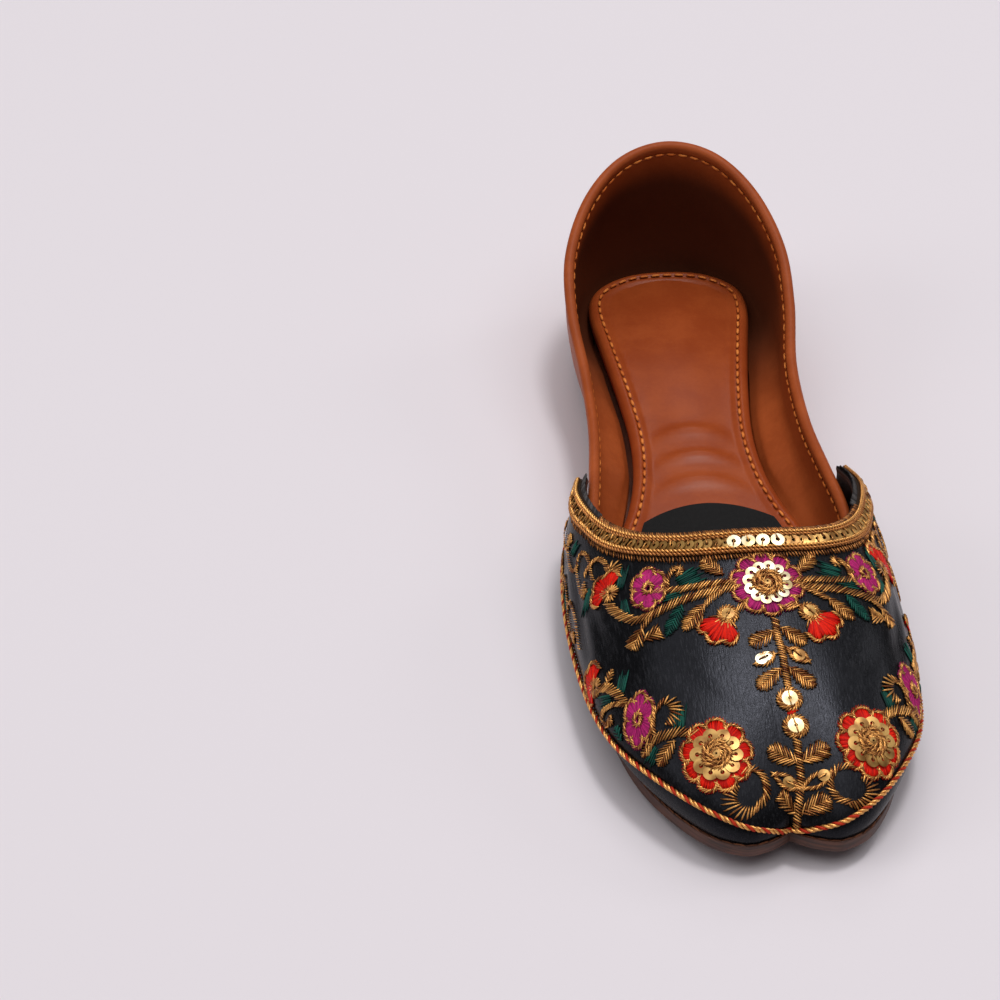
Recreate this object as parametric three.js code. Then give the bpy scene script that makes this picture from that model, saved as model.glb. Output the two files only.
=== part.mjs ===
// Mojari shoe, right foot, standing empty on its sole.
// Millimetres, +Z up. The toe points along -Y and the heel along +Y.
// The origin is on the floor, at mid length, on the centre line of the last.
import * as THREE from 'three';

// Driving sizes of the last and the sole
const LENGTH = 250;
const BALL_WIDTH = 78;
const WAIST_WIDTH = 52.8;
const HEEL_WIDTH = 55.2;
const SOLE_THICK = 3.6;
const SOLE_EDGE_ROUND = 0.6;
const TOE_SPRING = 5.6;
const SPRING_LENGTH = 75;
const NOTCH_DEPTH = 5.8;
const NOTCH_HALF_WIDTH = 13.5;
const TOE_SWING = 1;
const END_SWING = 2.7;
const SWING_START = 0.44;
const SWING_REST = 0.3;
const NOTCH_FADE = 0.35;
const NOTCH_LAST_ROW = 6;

// The gap kept between pieces that meet
const CLEARANCE = 0.3;

// Driving sizes of the upper
const INSTEP_HEIGHT = 46.4;
const SIDE_HEIGHT = 27;
const HEEL_HEIGHT = 57;
const VAMP_WALL = 1.8;
const QUARTER_WALL = 2.2;
const UPPER_INSET = 0.8;
const COUNTER_INSET = 0.4;
const UNDER_VAMP_INSET = UPPER_INSET + VAMP_WALL + 2 * CLEARANCE;
const STEP_OUT_FROM = 8.8;
const STEP_OUT_TO = 12;
const RIM_BEAD = 0.9;
const RIM_DEPTH = 4.6;

// Driving sizes of the bed and the trims
const BOARD_THICK = 1.2;
const BOARD_TO_WALL = 0.5;
const BED_THICK_TOE = 2.6;
const BED_THICK_BALL = 6.3;
const BED_THICK_HEEL = 8.6;
const BED_LIP = 1.2;
const BED_PANEL_INSET = 5.5;
const PATCH_THICK = 0.6;
const PATCH_FRONT = 34;
const PATCH_BACK = 134;
const PATCH_BOW = 7;
const PATCH_INSET = 5.8;
const PATCH_LIFT = 0.1;
const BRAID_WIDTH = 7.8;
const BRAID_THICK = 1.1;
const BRAID_FROM_EDGE = 0.6;
const CORD_DIAMETER = 1.7;
const CORD_END = 0.25;
const BRAID_END = 0.03;
const THROAT_ROLL = 0.9;
const CAP_STEP = 0.3;

// Shares for the outline of the sole, from the toe's centre round to the heel's centre.
// across is a share of half the named width, along a share of the length from the toe.
const SOLE_OUTLINE = [
  { width: BALL_WIDTH, across: 0, along: -0.0024 },
  { width: BALL_WIDTH, across: 0.167, along: -0.002 },
  { width: BALL_WIDTH, across: 0.346, along: 0.0008 },
  { width: BALL_WIDTH, across: 0.538, along: 0.02 },
  { width: BALL_WIDTH, across: 0.731, along: 0.066 },
  { width: BALL_WIDTH, across: 0.885, along: 0.128 },
  { width: BALL_WIDTH, across: 0.974, along: 0.212 },
  { width: BALL_WIDTH, across: 1, along: 0.312 },
  { width: BALL_WIDTH, across: 0.949, along: 0.412 },
  { width: BALL_WIDTH, across: 0.841, along: 0.512 },
  { width: WAIST_WIDTH, across: 1.076, along: 0.612 },
  { width: WAIST_WIDTH, across: 1, along: 0.704 },
  { width: HEEL_WIDTH, across: 0.993, along: 0.8 },
  { width: HEEL_WIDTH, across: 1, along: 0.876 },
  { width: HEEL_WIDTH, across: 0.884, along: 0.938 },
  { width: HEEL_WIDTH, across: 0.562, along: 0.984 },
  { width: HEEL_WIDTH, across: 0, along: 1 },
];

// The padded bed's outline, in the same way.
const BED_OUTLINE = [
  { width: BALL_WIDTH, across: 0, along: 0.054 },
  { width: BALL_WIDTH, across: 0.256, along: 0.06 },
  { width: BALL_WIDTH, across: 0.487, along: 0.084 },
  { width: BALL_WIDTH, across: 0.679, along: 0.132 },
  { width: BALL_WIDTH, across: 0.808, along: 0.208 },
  { width: BALL_WIDTH, across: 0.859, along: 0.3 },
  { width: BALL_WIDTH, across: 0.833, along: 0.368 },
  { width: BALL_WIDTH, across: 0.751, along: 0.432 },
  { width: BALL_WIDTH, across: 0.654, along: 0.492 },
  { width: WAIST_WIDTH, across: 0.826, along: 0.536 },
  { width: WAIST_WIDTH, across: 0.716, along: 0.592 },
  { width: WAIST_WIDTH, across: 0.678, along: 0.664 },
  { width: HEEL_WIDTH, across: 0.71, along: 0.752 },
  { width: HEEL_WIDTH, across: 0.808, along: 0.84 },
  { width: HEEL_WIDTH, across: 0.873, along: 0.902 },
  { width: HEEL_WIDTH, across: 0.837, along: 0.94 },
  { width: HEEL_WIDTH, across: 0.67, along: 0.966 },
  { width: HEEL_WIDTH, across: 0.38, along: 0.984 },
  { width: HEEL_WIDTH, across: 0, along: 0.9892 },
];

// The bed's section: inset from its outline, height as a share of its thickness, drop below its top.
const BED_SECTION = [
  { inset: 2.2, share: 0, drop: 0 },
  { inset: 1.1, share: 0.2, drop: 0 },
  { inset: 0, share: 0.68, drop: 0 },
  { inset: 0.5, share: 1, drop: 0.9 },
  { inset: 1.5, share: 1, drop: 0.15 },
  { inset: 2.7, share: 1, drop: 0 },
  { inset: 4, share: 1, drop: 0.5 * BED_LIP },
  { inset: BED_PANEL_INSET, share: 1, drop: BED_LIP },
];

// Ribs of the vamp, from the centre of the throat out to the back corner of its wing.
// Each rib is a curve from the throat edge down to the sole. foot is its place on the
// outline of the sole. facing is its direction in plan, from the toe round to the side.
// pull and dip shape the top of the curve, push and rise its foot; pull and push are
// shares of the instep height.
const VAMP_RIBS = [
  { foot: 0, across: 0, along: 0.319, up: 1, facing: 0, pull: 0.539, dip: 20, push: 0.28, rise: 68 },
  { foot: 1, across: 0.231, along: 0.32, up: 0.991, facing: 10, pull: 0.515, dip: 20, push: 0.282, rise: 75 },
  { foot: 2.4, across: 0.462, along: 0.329, up: 0.946, facing: 27, pull: 0.461, dip: 21, push: 0.328, rise: 70 },
  { foot: 3.7, across: 0.674, along: 0.351, up: 0.871, facing: 49, pull: 0.328, dip: 23, push: 0.401, rise: 55 },
  { foot: 5, across: 0.831, along: 0.387, up: 0.793, facing: 69, pull: 0.157, dip: 34, push: 0.455, rise: 40 },
  { foot: 6.6, across: 0.933, along: 0.432, up: 0.741, facing: 86, pull: 0.02, dip: 50, push: 0.386, rise: 31 },
  { foot: 8.2, across: 0.956, along: 0.47, up: 0.703, facing: 93, pull: 0.024, dip: 60, push: 0.381, rise: 34 },
  { foot: 9.3, across: 0.915, along: 0.512, up: 0.623, facing: 97, pull: 0.054, dip: 66, push: 0.284, rise: 48 },
];

// Ribs of the quarter, from the centre of the heel forward to its end inside the vamp.
// up, push and pull are shares of the named height.
const QUARTER_RIBS = [
  { foot: 16, width: HEEL_WIDTH, across: 0, along: 1.011, height: HEEL_HEIGHT, up: 1,
    facing: 180, push: 0.28, rise: 62, pull: 0.21, dip: 82 },
  { foot: 15.2, width: HEEL_WIDTH, across: 0.507, along: 0.994, height: HEEL_HEIGHT, up: 0.965,
    facing: 156, push: 0.26, rise: 62, pull: 0.21, dip: 82 },
  { foot: 14.2, width: HEEL_WIDTH, across: 0.906, along: 0.948, height: HEEL_HEIGHT, up: 0.863,
    facing: 128, push: 0.25, rise: 62, pull: 0.19, dip: 84 },
  { foot: 13.1, width: HEEL_WIDTH, across: 1.152, along: 0.878, height: HEEL_HEIGHT, up: 0.727,
    facing: 105, push: 0.21, rise: 60, pull: 0.16, dip: 86 },
  { foot: 12.1, width: HEEL_WIDTH, across: 1.187, along: 0.802, height: HEEL_HEIGHT, up: 0.602,
    facing: 94, push: 0.18, rise: 58, pull: 0.14, dip: 86 },
  { foot: 11, width: WAIST_WIDTH, across: 1.163, along: 0.714, height: SIDE_HEIGHT, up: 1.044,
    facing: 90, push: 0.30, rise: 60, pull: 0.26, dip: 84 },
  { foot: 10, width: WAIST_WIDTH, across: 1.163, along: 0.612, height: SIDE_HEIGHT, up: 1,
    facing: 88, push: 0.30, rise: 62, pull: 0.26, dip: 82 },
  { foot: 9.1, width: WAIST_WIDTH, across: 1.246, along: 0.524, height: SIDE_HEIGHT, up: 1,
    facing: 86, push: 0.30, rise: 62, pull: 0.26, dip: 82 },
  { foot: 8.5, width: WAIST_WIDTH, across: 1.314, along: 0.468, height: SIDE_HEIGHT, up: 0.985,
    facing: 85, push: 0.30, rise: 62, pull: 0.26, dip: 80 },
  { foot: 8, width: WAIST_WIDTH, across: 1.333, along: 0.42, height: SIDE_HEIGHT, up: 0.93,
    facing: 85, push: 0.30, rise: 62, pull: 0.26, dip: 80 },
  { foot: 7.75, width: WAIST_WIDTH, across: 1.32, along: 0.388, height: SIDE_HEIGHT, up: 0.66,
    facing: 85, push: 0.20, rise: 62, pull: 0.16, dip: 80 },
];

// Height of the seam cord above the sole, along the wall, for each rib of the vamp.
const SEAM_RISE = [
  { up: 1.6 },
  { up: 3.4 },
  { up: 7 },
  { up: 10.8 },
  { up: 12.4 },
  { up: 12.6 },
  { up: 12.4 },
  { up: 12 },
];

// The quarter's wall near its rim: distance below the rim edge, and how far each face stands out.
const RIM_SECTION = [
  { below: 0, out: -0.5, wall: 0.62 },
  { below: 0.12, out: 0.75 * RIM_BEAD, wall: 1 },
  { below: 0.42, out: RIM_BEAD, wall: 1 },
  { below: 0.78, out: 0.6 * RIM_BEAD, wall: 1 },
  { below: 1, out: 0, wall: 1 },
];

// The braid's section: place as a share of its width, and thickness as a share of the full one.
const BRAID_SECTION = [
  { place: 0, thick: 0.45 },
  { place: 0.2, thick: 1 },
  { place: 0.38, thick: 0.55 },
  { place: 0.62, thick: 0.55 },
  { place: 0.8, thick: 1 },
  { place: 1, thick: 0.45 },
];

const UP = new THREE.Vector3(0, 0, 1);
const RADIANS = Math.PI / 180;
const SOLE_STEPS = 40;
const BED_STEPS = 36;
const PATCH_STEPS = 8;
const VAMP_STEPS = 60;
const VAMP_ROWS = 11;
const QUARTER_STEPS = 56;
const QUARTER_ROWS = 6;
const BRAID_STEPS = 64;
const CORD_STEPS = 96;
const CORD_SIDES = 6;
const LAST_RIB = VAMP_RIBS.length - 1;
const LAST_QUARTER_RIB = QUARTER_RIBS.length - 1;
const HEEL_ROW = SOLE_OUTLINE.length - 1;

// One column of a table at a fractional row, by a smooth curve through the rows.
// The table is mirrored at its first row: mirror is -1 for a column that changes sign there.
function smooth(values, row, mirror = 1) {
  const last = values.length - 1;
  const clamped = Math.min(Math.max(row, 0), last);
  const start = Math.min(Math.floor(clamped), last - 1);
  const f = clamped - start;
  const at = (i) => {
    if (i < 0) return mirror * values[-i];
    if (i > last) return 2 * values[last] - values[2 * last - i];
    return values[i];
  };
  const [a, b, c, d] = [at(start - 1), at(start), at(start + 1), at(start + 2)];
  const square = (2 * a - 5 * b + 4 * c - d) * f ** 2;
  const cubic = (3 * b - a - 3 * c + d) * f ** 3;
  return 0.5 * (2 * b + (c - a) * f + square + cubic);
}

// How high the toe spring lifts the sole at a distance from the toe.
function springAt(along) {
  const share = Math.max((SPRING_LENGTH - along) / SPRING_LENGTH, 0);
  return TOE_SPRING * share ** 2;
}

// Turns last coordinates (across, along from the toe, up) into a point of the model,
// with the slight sideways swing of the last.
function place(across, along, up) {
  const end = (2 * along) / LENGTH - 1;
  const toward = Math.max(SWING_START - along / LENGTH, 0) / SWING_START;
  const swing = TOE_SWING * toward ** 2 + END_SWING * (end ** 2 - SWING_REST);
  return new THREE.Vector3(across + swing, along - LENGTH / 2, up);
}

function toModel(p) {
  return place(p.x, p.y, p.z);
}

// A point of an outline table on the right-hand side, in plan, moved inwards by inset.
function outlinePoint(table, row, inset) {
  const across = table.map((r) => (r.across * r.width) / 2);
  const along = table.map((r) => r.along * LENGTH);
  across.push(-across[table.length - 2]);
  along.push(along[table.length - 2]);
  const point = (at) => new THREE.Vector2(smooth(across, at, -1), smooth(along, at));
  const step = 0.02;
  const tangent = point(row + step).sub(point(Math.max(row - step, 0))).normalize();
  return point(row).add(new THREE.Vector2(-tangent.y, tangent.x).multiplyScalar(inset));
}

// A point of the sole's outline, with the notch between the two lobes of the toe.
function solePoint(row, inset, notchShare = 1) {
  const p = outlinePoint(SOLE_OUTLINE, row, inset);
  if (row < NOTCH_LAST_ROW) {
    const near = Math.max(1 - Math.abs(p.x) / NOTCH_HALF_WIDTH, 0);
    p.y += notchShare * NOTCH_DEPTH * near ** 2;
  }
  return p;
}

// A cubic curve from a top point down to a foot. It leaves both along facing, in plan.
function ribCurve(top, foot, softFoot, shape) {
  const out = new THREE.Vector3(Math.sin(shape.facing * RADIANS), -Math.cos(shape.facing * RADIANS), 0);
  const upper = top.clone();
  upper.addScaledVector(out, shape.pull * Math.cos(shape.dip * RADIANS));
  upper.addScaledVector(UP, -shape.pull * Math.sin(shape.dip * RADIANS));
  const lower = softFoot.clone();
  lower.addScaledVector(out, shape.push * Math.cos(shape.rise * RADIANS));
  lower.addScaledVector(UP, shape.push * Math.sin(shape.rise * RADIANS));
  return new THREE.CubicBezierCurve3(top, upper, lower, foot);
}

function mirrored(curve) {
  for (const p of [curve.v0, curve.v1, curve.v2, curve.v3]) {
    p.x = -p.x;
  }
  return curve;
}

// The foot of the upper stands a clearance above the sole.
function onSole(p) {
  return new THREE.Vector3(p.x, p.y, SOLE_THICK + CLEARANCE + springAt(p.y));
}

// The rib of the vamp at a fractional row; negative rows are on the left.
function vampRib(u) {
  const row = Math.abs(u);
  const column = (name, mirror = 1) => smooth(VAMP_RIBS.map((r) => r[name]), row, mirror);
  const across = (column('across', -1) * BALL_WIDTH) / 2;
  const top = new THREE.Vector3(across, column('along') * LENGTH, column('up') * INSTEP_HEIGHT);
  const footRow = Math.max(column('foot', -1), 0);
  const foot = onSole(solePoint(footRow, UPPER_INSET));
  const softFoot = onSole(solePoint(footRow, UPPER_INSET, NOTCH_FADE));
  const shape = {
    facing: column('facing', -1),
    pull: column('pull') * INSTEP_HEIGHT,
    dip: column('dip'),
    push: column('push') * INSTEP_HEIGHT,
    rise: column('rise'),
  };
  const curve = ribCurve(top, foot, softFoot, shape);
  return u < 0 ? mirrored(curve) : curve;
}

// What the foot of the quarter keeps from the sole's outline: under the vamp it stands
// inside the vamp's wall, and behind the vamp it steps out towards the edge.
function quarterInset(row) {
  const stepOut = THREE.MathUtils.smoothstep(row, STEP_OUT_FROM, STEP_OUT_TO);
  return UNDER_VAMP_INSET + (COUNTER_INSET - UNDER_VAMP_INSET) * stepOut;
}

// The rib of the quarter at a fractional row from the heel; positive rows are on the left.
function quarterRib(w) {
  const row = Math.abs(w);
  const column = (name) => smooth(QUARTER_RIBS.map((r) => r[name]), row);
  const odd = (value) => smooth(QUARTER_RIBS.map(value), row, -1);
  const across = odd((r) => (r.across * r.width) / 2);
  const up = smooth(QUARTER_RIBS.map((r) => r.up * r.height), row);
  const top = new THREE.Vector3(across, column('along') * LENGTH, up);
  const footRow = HEEL_ROW - odd((r) => HEEL_ROW - r.foot);
  const foot = onSole(solePoint(footRow, quarterInset(footRow)));
  const shape = {
    facing: 180 - odd((r) => 180 - r.facing),
    pull: smooth(QUARTER_RIBS.map((r) => r.pull * r.height), row),
    dip: column('dip'),
    push: smooth(QUARTER_RIBS.map((r) => r.push * r.height), row),
    rise: column('rise'),
  };
  const curve = ribCurve(top, foot, foot, shape);
  return w > 0 ? mirrored(curve) : curve;
}

// A face made of ribs: point and outward normal at a fractional rib and a share of its length.
class RibbedFace {
  constructor(ribAt) {
    this.ribAt = ribAt;
    this.kept = new Map();
  }

  rib(u) {
    const key = u.toFixed(6);
    if (!this.kept.has(key)) {
      const curve = this.ribAt(u);
      curve.arcLengthDivisions = 80;
      this.kept.set(key, curve);
    }
    return this.kept.get(key);
  }

  length(u) {
    return this.rib(u).getLength();
  }

  point(u, v) {
    return this.rib(u).getPointAt(Math.min(Math.max(v, 0), 1));
  }

  normal(u, v) {
    const sideways = this.point(u + 0.03, v).sub(this.point(u - 0.03, v));
    const down = this.rib(u).getTangentAt(Math.min(Math.max(v, 0), 1));
    return down.cross(sideways).normalize();
  }

  // The point that stands out from the face by a distance.
  raised(u, v, out) {
    return this.point(u, v).addScaledVector(this.normal(u, v), out);
  }
}

const vampFace = new RibbedFace(vampRib);
const quarterFace = new RibbedFace(quarterRib);

function geometryOf(triangles) {
  const geometry = new THREE.BufferGeometry();
  const numbers = triangles.flatMap((p) => [p.x, p.y, p.z]);
  geometry.setAttribute('position', new THREE.Float32BufferAttribute(numbers, 3));
  geometry.computeVertexNormals();
  return geometry;
}

function triangle(triangles, a, b, c) {
  const flat = a.equals(b) || b.equals(c) || c.equals(a);
  if (!flat) triangles.push(a, b, c);
}

function quad(triangles, a, b, c, d) {
  triangle(triangles, a, b, c);
  triangle(triangles, a, c, d);
}

// A closed wall between an outer and an inner grid of points, both [column][row] and seen
// from outside with columns running to the right and rows running down.
function wallGeometry(outer, inner) {
  const triangles = [];
  const ends = outer.length - 1;
  const foot = outer[0].length - 1;
  for (let i = 0; i < ends; i += 1) {
    const [o, p, n, m] = [outer[i], outer[i + 1], inner[i], inner[i + 1]];
    for (let j = 0; j < foot; j += 1) {
      quad(triangles, o[j], o[j + 1], p[j + 1], p[j]);
      quad(triangles, n[j], m[j], m[j + 1], n[j + 1]);
    }
    quad(triangles, o[0], p[0], m[0], n[0]);
    quad(triangles, o[foot], n[foot], m[foot], p[foot]);
  }
  for (let j = 0; j < foot; j += 1) {
    quad(triangles, outer[0][j], inner[0][j], inner[0][j + 1], outer[0][j + 1]);
    quad(triangles, outer[ends][j], outer[ends][j + 1], inner[ends][j + 1], inner[ends][j]);
  }
  return geometryOf(triangles);
}

// A cap between the centre line and one ring of a pad, on both sides of the line.
// up gives the height on the centre line.
function addCap(triangles, ring, up, facesUp) {
  const last = ring.length - 1;
  const middle = ring.map((p, i) => {
    if (i === 0 || i === last) return p;
    const along = Math.max(p.y, ring[0].y + CAP_STEP * i);
    const held = Math.min(along, ring[last].y - CAP_STEP * (last - i));
    return new THREE.Vector3(0, held, up(held));
  });
  for (let i = 0; i < last; i += 1) {
    for (const side of [1, -1]) {
      const corners = [middle[i], ring[i], ring[i + 1], middle[i + 1]];
      const placed = corners.map((p) => place(side * p.x, p.y, p.z));
      if ((side === 1) !== facesUp) placed.reverse();
      quad(triangles, ...placed);
    }
  }
}

// A closed pad from rings stacked upwards. Each ring lists its right-hand side from front to
// back in last coordinates, with both ends on the centre line; the left side mirrors it.
function padGeometry(rings, bottom, top) {
  const triangles = [];
  const right = rings.map((ring) => ring.map(toModel));
  const left = rings.map((ring) => ring.map((p) => place(-p.x, p.y, p.z)));
  for (let r = 0; r + 1 < rings.length; r += 1) {
    for (let i = 0; i + 1 < rings[r].length; i += 1) {
      quad(triangles, right[r][i], right[r][i + 1], right[r + 1][i + 1], right[r + 1][i]);
      quad(triangles, left[r][i], left[r + 1][i], left[r + 1][i + 1], left[r][i + 1]);
    }
  }
  addCap(triangles, rings[0], bottom, false);
  addCap(triangles, rings[rings.length - 1], top, true);
  return geometryOf(triangles);
}

// A ring of a pad: the outline's right-hand side moved inwards, at heights given by up.
function ringOf(pointAt, lastRow, steps, inset, up) {
  return Array.from({ length: steps + 1 }, (_, i) => {
    const p = pointAt((i / steps) * lastRow, inset);
    const across = i === 0 || i === steps ? 0 : p.x;
    return new THREE.Vector3(across, p.y, up(p.y));
  });
}

function spread(count, from, to) {
  return Array.from({ length: count + 1 }, (_, i) => from + ((to - from) * i) / count);
}

function outsole() {
  const section = [
    { inset: SOLE_EDGE_ROUND, up: 0 },
    { inset: 0, up: SOLE_EDGE_ROUND },
    { inset: 0, up: SOLE_THICK - SOLE_EDGE_ROUND / 2 },
    { inset: SOLE_EDGE_ROUND / 2, up: SOLE_THICK },
  ];
  const rings = section.map((s) => {
    const up = (along) => s.up + springAt(along);
    return ringOf(solePoint, HEEL_ROW, SOLE_STEPS, s.inset, up);
  });
  return padGeometry(rings, springAt, (along) => SOLE_THICK + springAt(along));
}

// The stiff board under the padded bed, out to the foot of the walls.
function insoleBoard() {
  const under = (along) => SOLE_THICK + CLEARANCE + springAt(along);
  const over = (along) => under(along) + BOARD_THICK;
  const boardPoint = (row, inset) => solePoint(row, quarterInset(row) + inset);
  const inset = QUARTER_WALL + BOARD_TO_WALL;
  const rings = [under, over].map((up) => ringOf(boardPoint, HEEL_ROW, SOLE_STEPS, inset, up));
  return padGeometry(rings, under, over);
}

// Underside of the padded bed, on the board.
function bedFloor(along) {
  return SOLE_THICK + BOARD_THICK + 2 * CLEARANCE + springAt(along);
}

// Top of the padded bed: thin under the toe, full at the ball and highest at the heel.
function bedTop(along) {
  const share = along / LENGTH;
  const toBall = THREE.MathUtils.smoothstep(share, 0.05, 0.22);
  const toHeel = THREE.MathUtils.smoothstep(share, 0.32, 0.82);
  const thick = BED_THICK_TOE + (BED_THICK_BALL - BED_THICK_TOE) * toBall;
  return bedFloor(along) + thick + (BED_THICK_HEEL - BED_THICK_BALL) * toHeel;
}

function insole() {
  const bedPoint = (row, inset) => outlinePoint(BED_OUTLINE, row, inset);
  const rings = BED_SECTION.map((s) => {
    const up = (along) => bedFloor(along) + s.share * (bedTop(along) - bedFloor(along)) - s.drop;
    return ringOf(bedPoint, BED_OUTLINE.length - 1, BED_STEPS, s.inset, up);
  });
  return padGeometry(rings, bedFloor, (along) => bedTop(along) - BED_LIP);
}

// Half the bed's width at a distance from the toe, by walking its outline.
function bedHalfWidth(along) {
  const rows = spread(200, 0, BED_OUTLINE.length - 1).map((row) => outlinePoint(BED_OUTLINE, row, 0));
  const nearest = (p) => Math.abs(p.y - along);
  return rows.reduce((best, p) => (nearest(p) < nearest(best) ? p : best)).x;
}

// The plain cloth patch that lies on the panel of the bed, under the vamp and just past its throat.
function insolePatch() {
  const squareEnd = PATCH_BACK - PATCH_BOW;
  const side = spread(PATCH_STEPS, PATCH_FRONT, squareEnd);
  const bow = spread(3, 1, 0).slice(1);
  const ring = (up) => {
    const points = [new THREE.Vector3(0, PATCH_FRONT, up(PATCH_FRONT))];
    for (const along of side) {
      points.push(new THREE.Vector3(bedHalfWidth(along) - PATCH_INSET, along, up(along)));
    }
    for (const share of bow) {
      const along = PATCH_BACK - PATCH_BOW * share ** 2;
      const across = share * (bedHalfWidth(squareEnd) - PATCH_INSET);
      points.push(new THREE.Vector3(across, along, up(along)));
    }
    return points;
  };
  const under = (along) => bedTop(along) - BED_LIP + CLEARANCE + PATCH_LIFT;
  const over = (along) => under(along) + PATCH_THICK;
  return padGeometry([ring(under), ring(over)], under, over);
}

function vamp() {
  const columns = spread(VAMP_STEPS, -LAST_RIB, LAST_RIB);
  const outer = [];
  const inner = [];
  for (const u of columns) {
    const edge = THROAT_ROLL / vampFace.length(u);
    const rows = [0, ...spread(VAMP_ROWS, edge, 1)];
    const foot = onSole(solePoint(Math.max(smooth(VAMP_RIBS.map((r) => r.foot), Math.abs(u), -1), 0),
      UPPER_INSET + VAMP_WALL));
    foot.x *= u < 0 ? -1 : 1;
    outer.push(rows.map((v, j) => toModel(vampFace.raised(u, v, j === 0 ? -THROAT_ROLL / 2 : 0))));
    inner.push(rows.map((v, j) => {
      if (j === rows.length - 1) return toModel(foot);
      return toModel(vampFace.raised(u, v, j === 0 ? -VAMP_WALL * 0.75 : -VAMP_WALL));
    }));
  }
  return wallGeometry(outer, inner);
}

function quarter() {
  const columns = spread(QUARTER_STEPS, -LAST_QUARTER_RIB, LAST_QUARTER_RIB);
  const outer = [];
  const inner = [];
  for (const w of columns) {
    const rim = RIM_DEPTH / quarterFace.length(w);
    const lower = spread(QUARTER_ROWS, rim, 1).slice(1).map((v) => ({ v, out: 0, wall: 1 }));
    const rows = [...RIM_SECTION.map((r) => ({ v: r.below * rim, out: r.out, wall: r.wall })), ...lower];
    outer.push(rows.map((r) => toModel(quarterFace.raised(w, r.v, r.out))));
    inner.push(rows.map((r) => {
      const p = quarterFace.raised(w, r.v, -QUARTER_WALL * r.wall);
      if (r.v === 1) p.z = quarterFace.point(w, 1).z;
      return toModel(p);
    }));
  }
  return wallGeometry(outer, inner);
}

// The braid lies on the vamp along its throat, from one corner to the other.
function throatBraid() {
  const columns = spread(BRAID_STEPS, -LAST_RIB + BRAID_END, LAST_RIB - BRAID_END);
  const share = (u, part) => (BRAID_FROM_EDGE + part * BRAID_WIDTH) / vampFace.length(u);
  const outer = columns.map((u) => BRAID_SECTION.map((s) => (
    toModel(vampFace.raised(u, share(u, s.place), CLEARANCE + BRAID_THICK * s.thick)))));
  const inner = columns.map((u) => BRAID_SECTION.map((s) => (
    toModel(vampFace.raised(u, share(u, s.place), CLEARANCE)))));
  return wallGeometry(outer, inner);
}

// The cord that covers the seam between the embroidered part and the plain band below it.
function seamCord() {
  const radius = CORD_DIAMETER / 2;
  const points = spread(CORD_STEPS, -LAST_RIB + CORD_END, LAST_RIB - CORD_END).map((u) => {
    const rise = smooth(SEAM_RISE.map((r) => r.up), Math.abs(u));
    const v = 1 - rise / vampFace.length(u);
    return toModel(vampFace.raised(u, v, radius + CLEARANCE));
  });
  const section = new THREE.Shape();
  for (let i = 0; i < CORD_SIDES; i += 1) {
    const angle = (2 * Math.PI * i) / CORD_SIDES;
    const corner = [radius * Math.cos(angle), radius * Math.sin(angle)];
    if (i === 0) section.moveTo(...corner);
    else section.lineTo(...corner);
  }
  section.closePath();
  return new THREE.ExtrudeGeometry(section, {
    steps: CORD_STEPS,
    bevelEnabled: false,
    extrudePath: new THREE.CatmullRomCurve3(points),
  });
}

function finish(color, roughness, metalness = 0) {
  return new THREE.MeshStandardMaterial({ color, roughness, metalness });
}

const PIECES = [
  { name: 'outsole', geometry: outsole(), material: finish('#8a4a2c', 0.6) },
  { name: 'insole_board', geometry: insoleBoard(), material: finish('#7d3f24', 0.6) },
  { name: 'insole', geometry: insole(), material: finish('#9c4a24', 0.4) },
  { name: 'insole_patch', geometry: insolePatch(), material: finish('#17171a', 0.85) },
  { name: 'quarter', geometry: quarter(), material: finish('#a05537', 0.45) },
  { name: 'vamp', geometry: vamp(), material: finish('#1d1f24', 0.35) },
  { name: 'throat_braid', geometry: throatBraid(), material: finish('#a87a35', 0.4, 0.6) },
  { name: 'seam_cord', geometry: seamCord(), material: finish('#a0572b', 0.6) },
];

const group = new THREE.Group();
for (const piece of PIECES) {
  const mesh = new THREE.Mesh(piece.geometry, piece.material);
  mesh.name = piece.name;
  group.add(mesh);
}

export default group;
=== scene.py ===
"""Mojari shoe for the right foot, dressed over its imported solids.

Shapes are worked out in millimetres in the part's own frame and made in metres.
The toe points along -Y and the heel along +Y, and +X is the wearer's left.
"""
from __future__ import annotations

import logging
import math
from dataclasses import dataclass, field
from enum import Enum
from typing import Callable, Iterable, NamedTuple, Sequence

import bmesh
import bpy
import numpy as np
from mathutils import Matrix, Vector
from mathutils.bvhtree import BVHTree

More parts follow.
